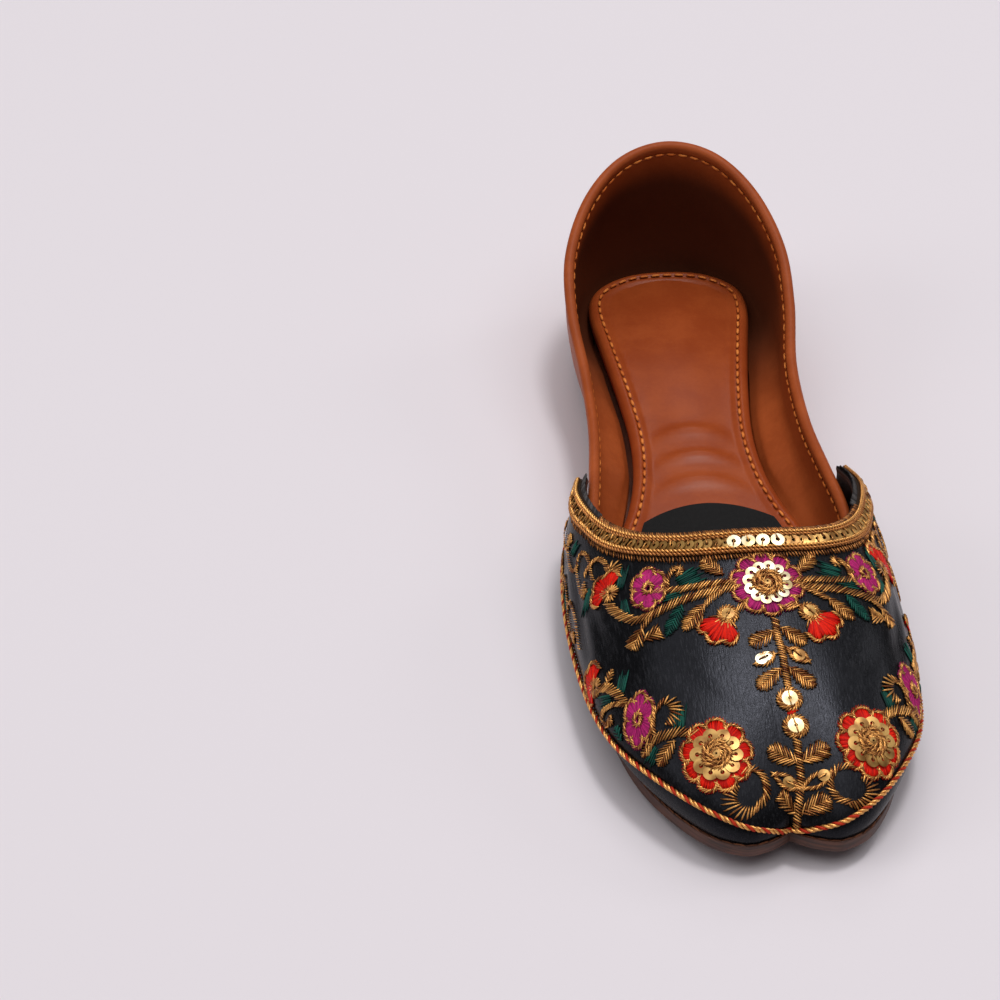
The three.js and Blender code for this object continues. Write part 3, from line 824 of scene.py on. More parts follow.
BLACK_LEATHER = Leather("black_leather", "vamp_leather", seen(22, 22, 24), seen(11, 11, 12), 0.24,
                        pore=0.55, pore_depth=0.016, blotch=22.0, hair=0.3, coat=0.0, shine=0.14,
                        gloss=(0.82, 0.84, 1.0))
BROWN_LEATHER = Leather("brown_leather", "quarter_leather", seen(166, 80, 38), seen(150, 69, 31), 0.42,
                        pore=0.5, pore_depth=0.012, coat=0.0, shine=0.12)
LINING_LEATHER = Leather("lining_leather", "lining_leather", seen(44, 26, 20), seen(28, 18, 15), 0.6,
                         pore=0.6, pore_depth=0.03, coat=0.0)
BOARD_LEATHER = Leather("board_leather", "lining_leather", seen(110, 52, 26), seen(84, 38, 19), 0.6,
                        pore=0.6, pore_depth=0.03, coat=0.0)
BED_LEATHER = Leather("bed_leather", "insole_leather", seen(158, 72, 31), seen(144, 61, 25), 0.32,
                      pore=0.45, pore_depth=0.012, coat=0.0, shine=0.2)
SOLE_LEATHER = StackedLeather("sole_leather", "sole_leather", seen(96, 58, 42), seen(56, 32, 24), 0.55)
PATCH_CLOTH = Cloth("patch_cloth", "patch_cloth", seen(34, 33, 33), seen(15, 15, 15), 0.85)
TAN_THREAD = Thread("tan_thread", "tan_stitch", seen(236, 142, 68), seen(200, 102, 42), 0.5)
GOLD_THREAD = Thread("gold_thread", "gold_thread", seen(252, 186, 104), seen(112, 56, 20), 0.34, metal=0.75)
BRONZE_THREAD = Thread("bronze_thread", "gold_thread", seen(196, 128, 66), seen(86, 46, 22), 0.38, metal=0.7)
RED_THREAD = Thread("red_thread", "red_thread", seen(244, 38, 14), seen(178, 12, 5), 0.5)
MAGENTA_THREAD = Thread("magenta_thread", "magenta_thread", seen(200, 44, 122), seen(128, 20, 76), 0.5)
GREEN_THREAD = Thread("green_thread", "green_thread", seen(30, 92, 78), seen(12, 46, 42), 0.45)
SEAM_THREAD = Thread("seam_thread", "seam_thread", seen(196, 54, 28), seen(124, 26, 14), 0.45)
SOLE_THREAD = Thread("sole_thread", "tan_stitch", seen(128, 80, 54), seen(84, 50, 34), 0.55)
CHARCOAL_THREAD = Thread("charcoal_thread", "vamp_leather", seen(92, 88, 88), seen(44, 40, 40), 0.5)
BACKING_CLOTH = Cloth("backing_cloth", "gold_thread", seen(58, 38, 20), seen(22, 15, 9), 0.8)
SEQUIN_FOIL = Foil("sequin_foil", "sequin", seen(240, 228, 194), seen(206, 180, 126), 0.34)
GOLD_FOIL = Foil("gold_foil", "sequin", seen(206, 162, 92), seen(136, 94, 44), 0.36)
# Painted shade: the dark of the needle holes beside the leaves.
HOLE_SHADE_CLOTH = Cloth("hole_shade_cloth", "vamp_leather", seen(12, 10, 9), seen(5, 4, 4), 0.9)


def bed_floor(along: Array) -> Array:
    """Give the height of the bed's underside."""
    board_thick = 1.2
    return SOLE_THICK + board_thick + 2 * CLEARANCE + spring_at(along)


def add_pad(name: str, rows: Array, rings: Sequence[tuple[Array, Array]],
            top_up: Callable[[Array, Array], Array],
            bottom_up: Callable[[Array, Array], Array], across_steps: int = 12) -> bpy.types.Object:
    """Make a closed pad, alike on both sides of its centre line.

    Args:
        name: The piece's name.
        rows: Places of the rings' points along the outline, from front to back.
        rings: From the bottom up, plan points and heights of each ring's right-hand side.
        top_up: Height of the top from across and along.
        bottom_up: Height of the underside from across and along.
        across_steps: Steps from a ring to the centre line.

    Returns:
        The piece.
    """
    count = len(rows)
    step = 0.12

    def cap(ring: tuple[Array, Array], height: Callable[[Array, Array], Array]) -> list[Array]:
        plan = ring[0]
        first, last = plan[0, 1], plan[-1, 1]
        order = np.arange(count)
        middle = np.minimum(np.maximum(plan[:, 1], first + step * order), last - step * (count - 1 - order))
        lines = []
        for share in np.linspace(0, 1, across_steps + 1)[1:]:
            x = plan[:, 0] * (1 - share)
            y = plan[:, 1] * (1 - share) + middle * share
            lines.append(np.stack([x, y, height(x, y)], -1))
        return lines

    edge = [np.concatenate([plan, up[:, None]], -1) for plan, up in rings]
    lines = cap(rings[0], bottom_up)[::-1] + edge + cap(rings[-1], top_up)
    right = np.stack(lines)
    left = right * OTHER_SIDE
    points = np.concatenate([place(right).reshape(-1, 3), place(left).reshape(-1, 3)])
    faces = grid_faces(len(lines), count)
    other = [tuple(reversed([c + len(lines) * count for c in f])) for f in faces]
    return make_piece(name, points, faces + other, 50.0)


@dataclass
class Sole:
    """The outsole."""

    edge_round: float = 0.6
    steps: int = 200

    def rings(self) -> tuple[Array, list[tuple[Array, Array]]]:
        """Give the rows and the rings of the sole, from the bottom up."""
        rows = np.linspace(0, HEEL_ROW, self.steps + 1)
        turns = np.radians([0, 30, 60, 90])
        section = [(self.edge_round * (1 - math.sin(a)), self.edge_round * (1 - math.cos(a))) for a in turns]
        small = self.edge_round / 2
        section += [(0.12, SOLE_THICK * 0.5)]
        section += [(small * (1 - math.cos(a)), SOLE_THICK - small * (1 - math.sin(a))) for a in turns]
        rings = []
        for inset, up in section:
            plan = sole_points(rows, inset)
            plan[0, 0] = plan[-1, 0] = 0
            rings.append((plan, up + spring_at(plan[:, 1])))
        return rows, rings

    def build(self) -> list[bpy.types.Object]:
        """Make the outsole in place of its solid."""
        rows, rings = self.rings()
        piece = add_pad("outsole_leather", rows, rings, lambda x, y: SOLE_THICK + spring_at(y),
                        lambda x, y: spring_at(y))
        SOLE_LEATHER.put_on(piece)
        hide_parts("outsole")
        return [piece]


class Ridge(NamedTuple):
    """A soft ridge across the bed: place from the toe, height, half width along the bed."""

    along: float
    high: float
    wide: float


@dataclass
class Bed:
    """The board, the padded bed with its stitched lip, and the cloth patch."""

    thick_toe: float = 2.6
    thick_ball: float = 6.3
    thick_heel: float = 8.6
    lip: float = 1.2
    stitch_inset: float = 3.2
    groove_deep: float = 0.4
    groove_wide: float = 0.5
    crown_from: float = 130.0
    crown_full: float = 150.0
    crown: float = 0.9
    patch_thick: float = 0.6
    patch_front: float = 34.0
    patch_back: float = 134.0
    patch_bow: float = 7.0
    patch_inset: float = 5.8
    patch_lift: float = 0.1
    ridges: tuple[Ridge, ...] = (Ridge(166, 1.35, 3.0), Ridge(155, 1.5, 2.5), Ridge(144, 1.2, 2.9))
    section: tuple[tuple[float, float, float], ...] = (
        (2.2, 0, 0), (1.1, 0.2, 0), (0, 0.68, 0), (0.5, 1, 0.9), (1.5, 1, 0.15), (2.7, 1, 0), (4, 1, 0.6),
        (PANEL_INSET, 1, 1.2),
    )

    def top(self, along: Array) -> Array:
        """Give the height of the lip's top at a distance from the toe."""
        share = along / LENGTH
        thick = self.thick_toe + (self.thick_ball - self.thick_toe) * smoothstep(share, 0.05, 0.22)
        return bed_floor(along) + thick + (self.thick_heel - self.thick_ball) * smoothstep(share, 0.32, 0.82)

    def half_width(self, along: Array) -> Array:
        """Give half the bed's width at distances from the toe."""
        rows = np.linspace(0, len(BED_OUTLINE) - 1, 400)
        outline = outline_points(BED_OUTLINE, rows, 0.0)
        order = np.argsort(outline[:, 1])
        return np.interp(along, outline[order, 1], outline[order, 0])

    def panel(self, across: Array, along: Array) -> Array:
        """Give the height of the sunk panel, with its crown and its soft ridges."""
        reach = np.maximum(self.half_width(along) - PANEL_INSET, 1.0)
        share = np.clip(np.abs(across) / reach, 0, 1)
        up = self.top(along) - self.lip + self.crown * (1 - share**2) ** 2 * smoothstep(
            along, self.crown_from, self.crown_full)
        for ridge in self.ridges:
            bent = along + 0.02 * across**2
            up = up + ridge.high * np.exp(-(((bent - ridge.along) / ridge.wide) ** 2)) * (1 - share**2)
        return up

    def build(self) -> list[bpy.types.Object]:
        """Make the board, the bed and the patch in place of their solids."""
        return [self.board(), self.padding(), self.patch()]

    def board(self) -> bpy.types.Object:
        """Make the stiff board under the bed."""
        wall_gap, thick = 0.5, 1.2
        rows = np.linspace(0, HEEL_ROW, 161)
        plan = sole_points(rows, quarter_inset(rows) + QUARTER_WALL + wall_gap)
        plan[0, 0] = plan[-1, 0] = 0
        under = SOLE_THICK + CLEARANCE
        rings = [(plan, under + spring_at(plan[:, 1])), (plan, under + thick + spring_at(plan[:, 1]))]
        piece = add_pad("board", rows, rings, lambda x, y: under + thick + spring_at(y),
                        lambda x, y: under + spring_at(y))
        BOARD_LEATHER.put_on(piece)
        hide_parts("insole_board")
        return piece

    def padding(self) -> bpy.types.Object:
        """Make the padded bed."""
        last = len(BED_OUTLINE) - 1
        rows = np.linspace(0, last, 201)
        rings = []
        inset_column, share_column, drop_column = zip(*self.section)
        for k in np.arange(0, len(self.section) - 0.99, 0.25):
            inset = float(smooth(inset_column, np.array([k]))[0])
            share = float(smooth(share_column, np.array([k]))[0])
            drop = float(smooth(drop_column, np.array([k]))[0])
            beside = (inset - self.stitch_inset) / self.groove_wide
            groove = self.groove_deep * math.exp(-(beside**2)) if k > 4.5 else 0.0
            plan = outline_points(BED_OUTLINE, rows, inset)
            plan[0, 0] = plan[-1, 0] = 0
            floor_up = bed_floor(plan[:, 1])
            rings.append((plan, floor_up + share * (self.top(plan[:, 1]) - floor_up) - drop - groove))
        piece = add_pad("bed", rows, rings, self.panel, lambda x, y: bed_floor(y), 16)
        BED_LEATHER.put_on(piece)
        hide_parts("insole")
        return piece

    def patch(self) -> bpy.types.Object:
        """Make the plain cloth patch."""
        square_end = self.patch_back - self.patch_bow
        reach = float(self.half_width(np.array([square_end]))[0]) - self.patch_inset
        side = np.linspace(self.patch_front, square_end, 60)
        bow = np.linspace(1, 0, 24)[1:]
        sideways = np.concatenate([[0.0], self.half_width(side) - self.patch_inset, bow * reach])
        along = np.concatenate([[self.patch_front], side, self.patch_back - self.patch_bow * bow**2])
        plan = np.stack([sideways, along], -1)
        under = self.top(along) - self.lip + CLEARANCE + self.patch_lift
        small = np.stack([np.maximum(sideways - 0.25, 0), along], -1)
        rings = [(plan, under), (plan, under + self.patch_thick * 0.7), (small, under + self.patch_thick)]

        def base(x: Array, y: Array) -> Array:
            return self.top(y) - self.lip + CLEARANCE + self.patch_lift

        piece = add_pad("patch", along, rings, lambda x, y: base(x, y) + self.patch_thick, base, 10)
        PATCH_CLOTH.put_on(piece)
        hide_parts("insole_patch")
        return piece

    def stitch_ring(self, spacing: float) -> tuple[Array, Array]:
        """Give points round the lip, in its groove, and their normals."""
        last = len(BED_OUTLINE) - 1
        rows = np.linspace(2.0, last, 600)
        plan = outline_points(BED_OUTLINE, rows, self.stitch_inset)
        up = self.top(plan[:, 1]) - 0.28
        right = np.concatenate([plan, up[:, None]], -1)
        both = np.concatenate([right, (right * OTHER_SIDE)[::-1]])
        points = resampled(place(both), spacing)
        return points, np.tile(np.array([0.0, 0.0, 1.0]), (len(points), 1))


def resampled(points: Array, spacing: float) -> Array:
    """Place points at equal steps along a line.

    Args:
        points: The line's points.
        spacing: The wanted step, rounded so that the ends stay.

    Returns:
        The new points.
    """
    run = np.concatenate([[0], np.cumsum(np.linalg.norm(np.diff(points, axis=0), axis=1))])
    count = max(int(round(run[-1] / spacing)), 1)
    where = np.linspace(0, run[-1], count + 1)
    return np.stack([np.interp(where, run, points[:, k]) for k in range(3)], -1)


def through(points: Array, spacing: float) -> Array:
    """Run a smooth curve through points and place points on it at equal steps."""
    rows = np.linspace(0, len(points) - 1, 24 * len(points))
    if len(points) < 3:
        return resampled(points, spacing)
    first = 2 * points[0] - points[1]
    dense = np.stack([
        smooth_open(np.concatenate([[first[k]], points[:, k]]), rows + 1) for k in range(3)
    ], -1)
    return resampled(dense, spacing)


def smooth_open(column: Array, rows: Array) -> Array:
    """Read a column whose first value only steers the curve's start."""
    last = len(column) - 1
    start = np.minimum(np.floor(rows), last - 1).astype(int)
    return cubic(np.concatenate([column, [2 * column[-1] - column[-2]]]), start - 1, rows - start)


class Crease(NamedTuple):
    """A soft trough or ridge across the vamp, between two places (rib, share of its length)."""

    start: Spot
    end: Spot
    depth: float
    wide: float


@dataclass
class Vamp:
    """The black upper: one hollow wall, rolled at the throat and at the ends of its wings."""

    columns: int = 281
    rows: int = 92
    roll_steps: int = 5
    end_round: float = 2.2
    creases: tuple[Crease, ...] = (
        Crease((-4.6, 0.33), (-3.6, 0.52), 0.55, 2.4),
        Crease((-5.2, 0.36), (-4.3, 0.58), 0.6, 2.2),
        Crease((-5.9, 0.42), (-5.2, 0.62), 0.45, 1.9),
        Crease((4.4, 0.33), (3.4, 0.52), 0.55, 2.4),
        Crease((5.1, 0.36), (4.2, 0.58), 0.6, 2.2),
        Crease((5.9, 0.42), (5.3, 0.62), 0.45, 1.9),
        Crease((-2.2, 0.45), (-1.3, 0.6), 0.3, 3.4),
        Crease((2.9, 0.43), (1.9, 0.58), 0.3, 3.4),
    )

    def stations(self) -> Array:
        """Give the fractional ribs of the columns, closer at both ends."""
        turn = np.linspace(0, math.pi / 2, 7)[:-1]
        inner = np.linspace(0, LAST_VAMP_RIB - 0.19, self.columns // 2)
        half = np.concatenate([inner, np.sort(LAST_VAMP_RIB - 0.18 * (1 - np.sin(turn)))])
        right = np.unique(np.concatenate([half, [LAST_VAMP_RIB]]))
        return np.concatenate([-right[:0:-1], right])

    def trough(self, points: Array) -> Array:
        """Add up the creases at points of the outer face.

        Args:
            points: Points in the part's frame.

        Returns:
            How far each point sinks, in millimetres.
        """
        sink = np.zeros(points.shape[:-1])
        for crease in self.creases:
            ends = [VAMP_FACE.raised(np.array([u]), np.array([[v * VAMP_FACE.lengths(np.array([u]))[0]]]),
                                     np.zeros((1, 1)))[0, 0] for u, v in (crease.start, crease.end)]
            line = ends[1] - ends[0]
            share = ((points - ends[0]) @ line) / (line @ line)
            held = np.clip(share, 0, 1)
            away = np.linalg.norm(points - (ends[0] + held[..., None] * line), axis=-1)
            sink += crease.depth * np.exp(-((away / crease.wide) ** 2)) * (0.4 + 0.6 * np.sin(math.pi * held))
        return sink

    def outer(self) -> tuple[Array, Array]:
        """Give the columns' ribs and the outer face's points, from the throat down."""
        u = self.stations()
        below, out = self.outer_section(u)
        points = VAMP_FACE.raised(u, below, out)
        normals = VAMP_FACE.read(u, below / VAMP_FACE.lengths(u)[:, None])[1]
        fade = smoothstep(below, 7.0, 14.0)
        return u, points - normals * (self.trough(points) * fade)[..., None]

    def outer_section(self, u: Array) -> tuple[Array, Array]:
        """Give distances below the throat edge and heights of the outer rows."""
        lengths = VAMP_FACE.lengths(u)[:, None]
        half = VAMP_WALL / 2
        thin = self.end_share(u)[:, None]
        turn = np.linspace(0, math.pi / 2, self.roll_steps + 1)
        roll_below = half * (1 - np.cos(turn))[None, :] * np.ones_like(lengths)
        roll_out = -half + thin * half * np.sin(turn)[None, :]
        share = np.linspace(0, 1, self.rows)[None, 1:]
        lower_below = half + (lengths - half) * share
        lower_out = (-half + thin * half) * np.ones_like(lower_below)
        return np.concatenate([roll_below, lower_below], 1), np.concatenate([roll_out, lower_out], 1)

    def end_share(self, u: Array) -> Array:
        """Give the share of the wall's thickness near the wings' ends, for a rounded edge."""
        per_rib = 12.0
        left = np.clip((LAST_VAMP_RIB - np.abs(u)) * per_rib / self.end_round, 0, 1)
        return np.sqrt(np.clip(1 - (1 - left) ** 2, 0.02, 1))

    def build(self) -> list[bpy.types.Object]:
        """Make the vamp in place of its solid."""
        u, outer = self.outer()
        below, out = self.outer_section(u)
        inner = VAMP_FACE.raised(u, below, -VAMP_WALL - out)
        inner[:, -1, 2] = outer[:, -1, 2]
        sections = np.concatenate([outer[:, ::-1], inner[:, 1:]], 1)
        piece = ring_wall("vamp_leather", sections)
        BLACK_LEATHER.put_on(piece)
        self.line(piece)
        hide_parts("vamp")
        return [piece]

    def line(self, piece: bpy.types.Object) -> None:
        """Give the vamp's inner faces the lining."""
        piece.data.materials.append(LINING_LEATHER.material())
        centre = Vector((0.0, -40.0 * MM, 22.0 * MM))
        for face in piece.data.polygons:
            inward = (centre - face.center).normalized()
            if face.normal.dot(inward) > 0.35:
                face.material_index = 1


@dataclass
class Quarter:
    """The brown wall round the heel, with its rolled rim."""

    columns: int = 301
    rows: int = 40
    rim_bead: float = 0.9
    rim_depth: float = 4.6
    stitch_below: float = 3.4
    turn_in: float = 2.8
    turn_high: float = 10.0
    turns: tuple[float, ...] = (2.8, 2.8, 2.8, 2.8, 4.6, 5.2, 5.6, 3.7, 2.8)
    shelf_rise: tuple[float, float] = (3.5, 14.0)

    def section(self, w: Array) -> tuple[Array, Array, Array]:
        """Give distances below the rim and heights of the outer and inner rows."""
        lengths = QUARTER_FACE.lengths(w)[:, None]
        radius = (QUARTER_WALL + self.rim_bead) / 2
        middle = self.rim_bead - radius
        turn = np.linspace(0, math.pi / 2, 9)
        roll_below = radius * (1 - np.cos(turn))
        below = np.concatenate([roll_below, np.linspace(radius, self.rim_depth, 9)[1:]])
        side = self.rim_bead * (1 - smoothstep(below, radius, self.rim_depth))
        around = np.arccos(np.clip(1 - below / radius, -1, 1))
        out = np.where(below <= radius, middle + radius * np.sin(around), side)
        groove = 0.35 * np.exp(-(((below - self.stitch_below) / 0.55) ** 2))
        inside = np.where(below <= radius, middle - (out - middle), -QUARTER_WALL) + groove
        share = np.linspace(0, 1, self.rows)[None, 1:]
        lower = self.rim_depth + (lengths - self.rim_depth) * share
        ones = np.ones_like(lengths)
        reach = np.interp(np.abs(w), np.arange(len(self.turns)), self.turns)[:, None]
        shelf = np.clip(reach / self.turn_in - 1, 0, 1)
        up = lengths - lower
        plain = np.clip(1 - up / self.turn_high, 0, 1) ** 2
        turned = reach * (plain * (1 - shelf) + (1 - smoothstep(up, *self.shelf_rise)) * shelf)
        return (np.concatenate([below[None, :] * ones, lower], 1),
                np.concatenate([out[None, :] * ones, 0 * lower], 1),
                np.concatenate([inside[None, :] * ones, -QUARTER_WALL - turned], 1))

    def build(self) -> list[bpy.types.Object]:
        """Make the quarter in place of its solid."""
        w = np.linspace(-LAST_QUARTER_RIB, LAST_QUARTER_RIB, self.columns)
        below, out, inside = self.section(w)
        outer = QUARTER_FACE.raised(w, below, out)
        inner = QUARTER_FACE.raised(w, below, inside)
        inner[:, -1, 2] = outer[:, -1, 2]
        piece = ring_wall("quarter_leather", np.concatenate([outer[:, ::-1], inner[:, 1:]], 1))
        self.paint_heel_shade(piece)
        BROWN_LEATHER.put_on(piece)
        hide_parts("quarter")
        return [piece]

    def paint_heel_shade(self, piece: bpy.types.Object) -> None:
        """Mark painted shade on the lining deep in the heel: its inner faces, towards the back and below the
        rim.
        """
        w = np.linspace(0, LAST_QUARTER_RIB, 60)
        rim = QUARTER_FACE.raised(w, np.zeros((60, 1)), np.zeros((60, 1)))[:, 0]
        order = np.argsort(rim[:, 1])
        count = len(piece.data.vertices)
        places, normals = np.zeros(count * 3), np.zeros(count * 3)
        piece.data.vertices.foreach_get("co", places)
        piece.data.vertices.foreach_get("normal", normals)
        places, normals = places.reshape(-1, 3) / MM, normals.reshape(-1, 3)
        inward = unit(HEEL_MIDDLE - places)
        below = np.interp(places[:, 1], rim[order, 1], rim[order, 2]) - places[:, 2]
        inner = smoothstep((normals * inward).sum(1), 0.1, 0.45)
        heelward = smoothstep(places[:, 1], 42.0, 98.0)
        strongest = 0.86
        # Painted shade, strongest low inside the heel towards the back.
        painted_heel_shade = inner * heelward * smoothstep(below, 3.0, 15.0) * strongest
        piece.data.attributes.new("painted_heel_shade", "FLOAT", "POINT").data.foreach_set("value", painted_heel_shade.astype(np.float32))


@dataclass(frozen=True)
class PhotoCamera:
    """The camera at the photograph's viewing angle; lengths in millimetres, angles in radians."""

    azimuth: float = -0.18679
    elevation: float = 0.66986
    roll: float = 0.01923
    distance: float = 938.1
    aim_up: float = 20.0
    aim_right: float = -59.69
    aim_rise: float = -3.72
    focal: float = 3.36844
    frame: float = 1000.0
    sensor: float = 36.0

    def axes(self) -> tuple[Array, Array, Array, Array]:
        """Give the eye and the camera's right, up and forward directions."""
        back = np.array([math.sin(self.azimuth) * math.cos(self.elevation),
                         -math.cos(self.azimuth) * math.cos(self.elevation), math.sin(self.elevation)])
        aim = np.array([0.0, 0.0, self.aim_up])
        eye = aim + self.distance * back
        side = unit(np.cross(-back, RISING))
        aim = aim + self.aim_right * side + self.aim_rise * np.cross(side, -back)
        forward = unit(aim - eye)
        side = unit(np.cross(forward, RISING))
        above = np.cross(side, forward)
        c, s = math.cos(self.roll), math.sin(self.roll)
        return eye, c * side + s * above, c * above - s * side, forward

    def ray(self, spot: Spot) -> tuple[Array, Array]:
        """Give the eye and the direction through a place of the photograph's frame."""
        eye, right, up, forward = self.axes()
        half = self.frame / 2
        scale = self.focal * self.frame
        return eye, unit(forward + (spot[0] - half) / scale * right - (spot[1] - half) / scale * up)

    def build(self) -> None:
        """Add the camera and make it the scene's."""
        eye, right, up, forward = self.axes()
        data = bpy.data.cameras.new("photo_camera")
        data.sensor_width = self.sensor
        data.lens = self.focal * self.sensor
        data.clip_start, data.clip_end = 0.05, 20.0
        camera = bpy.data.objects.new("photo_camera", data)
        matrix = Matrix.Identity(4)
        for column, axis in enumerate((right, up, -forward)):
            for row in range(3):
                matrix[row][column] = axis[row]
        for row in range(3):
            matrix[row][3] = eye[row] * MM
        camera.matrix_world = matrix
        bpy.context.scene.collection.objects.link(camera)
        bpy.context.scene.camera = camera


class Canvas:
    """The vamp's outer face, as a surface to sew on."""

    CENTRE = 0.25
    KEEPS_CENTRE = 4.5
    LOSES_CENTRE = 6.5

    def __init__(self, vamp: Vamp, camera: PhotoCamera) -> None:
        """Keep the vamp's outer grid and a search tree over it."""
        self.camera = camera
        self.u, self.points = vamp.outer()
        self.below = vamp.outer_section(self.u)[0]
        across = np.gradient(self.points, axis=0)
        down = np.gradient(self.points, axis=1)
        self.normals = unit(np.cross(down, across))
        columns, rows, _ = self.points.shape
        self.rows = rows
        self.tree = BVHTree.FromPolygons(self.points.reshape(-1, 3).tolist(), grid_faces(columns, rows))

    def drop(self, points: Array) -> tuple[Array, Array]:
        """Move points to the nearest place on the vamp.

        Args:
            points: Points in millimetres.

        Returns:
            The places and the outward normals there.
        """
        places, normals = [], []
        for point in points:
            spot, _, index, _ = self.tree.find_nearest(Vector(point))
            i, j = divmod(index, self.rows - 1)
            places.append(spot)
            normals.append(self.normals[i:i + 2, j:j + 2].reshape(-1, 3).mean(0))
        return np.array(places), unit(np.array(normals))

    def photo(self, spots: Sequence[Spot]) -> Array:
        """Give the places on the vamp that show at places of the photograph's frame."""
        found = []
        for spot in spots:
            eye, ray = self.camera.ray(spot)
            hit = self.tree.ray_cast(Vector(eye), Vector(ray))[0]
            if hit is None:
                raise ValueError(f"no vamp behind {spot}")
            found.append(hit)
        return np.array(found)

    def ribs(self, spots: Sequence[Spot]) -> Array:
        """Give places by fractional rib and share of its length."""
        u = np.array([s[0] for s in spots], float)
        shares = np.array([[s[1]] for s in spots], float)
        points = VAMP_FACE.raised(u, shares * VAMP_FACE.lengths(u)[:, None], np.zeros_like(shares))
        return self.drop(points[:, 0])[0]

    def mirror(self, points: Array) -> Array:
        """Carry places over to the other half of the pattern."""
        spots = []
        for point in points:
            spot, _, index, _ = self.tree.find_nearest(Vector(point))
            i, j = divmod(index, self.rows - 1)
            corner = self.points[i, j]
            edges = np.stack([self.points[i + 1, j] - corner, self.points[i, j + 1] - corner], -1)
            a, b = np.linalg.lstsq(edges, np.array(spot) - corner, rcond=None)[0]
            u = self.u[i] + a * (self.u[i + 1] - self.u[i])
            below = self.below[i, j] + b * (self.below[i, j + 1] - self.below[i, j])
            share = below / float(VAMP_FACE.lengths(np.array([u]))[0])
            keeps = 1 - float(smoothstep(np.array(abs(u)), self.KEEPS_CENTRE, self.LOSES_CENTRE))
            spots.append((2 * self.CENTRE * keeps - u, share))
        return self.ribs(spots)


@dataclass
class Stitches:
    """A growing list of stitches or sequins: place, run, normal and size of each."""

    places: list[Array] = field(default_factory=list)
    runs: list[Array] = field(default_factory=list)
    normals: list[Array] = field(default_factory=list)
    sizes: list[Array] = field(default_factory=list)

    def add(self, start: Array, end: Array, normals: Array, wide: float, high: float,
            lift: float = 0.0) -> None:
        """Add stitches from start points to end points.

        Args:
            start: Start points in millimetres.
            end: End points.
            normals: Outward normals.
            wide: Width of a stitch.
            high: Its height.
            lift: How far it stands off the surface.
        """
        run = end - start
        long = np.linalg.norm(run, axis=1, keepdims=True)
        self.places.append((start + end) / 2 + normals * lift)
        self.runs.append(run / np.maximum(long, 1e-9))
        self.normals.append(normals)
        sizes = [long + wide * 0.5, np.full_like(long, wide), np.full_like(long, high)]
        self.sizes.append(np.concatenate(sizes, 1))

    def carrier(self, name: str) -> bpy.types.Object:
        """Make a mesh of points that carries the runs, normals and sizes."""
        mesh = bpy.data.meshes.new(name)
        points = np.concatenate(self.places) * MM
        mesh.from_pydata(points.tolist(), [], [])
        values = {"run": self.runs, "face_up": self.normals, "size": [s * MM for s in self.sizes]}
        for key, parts in values.items():
            layer = mesh.attributes.new(key, "FLOAT_VECTOR", "POINT")
            layer.data.foreach_set("vector", np.concatenate(parts).astype(np.float32).ravel())
        tones = mesh.attributes.new("tone", "FLOAT", "POINT")
        values = np.random.default_rng(len(points)).random(len(points))
        tones.data.foreach_set("value", values.astype(np.float32))
        return linked(name, mesh)


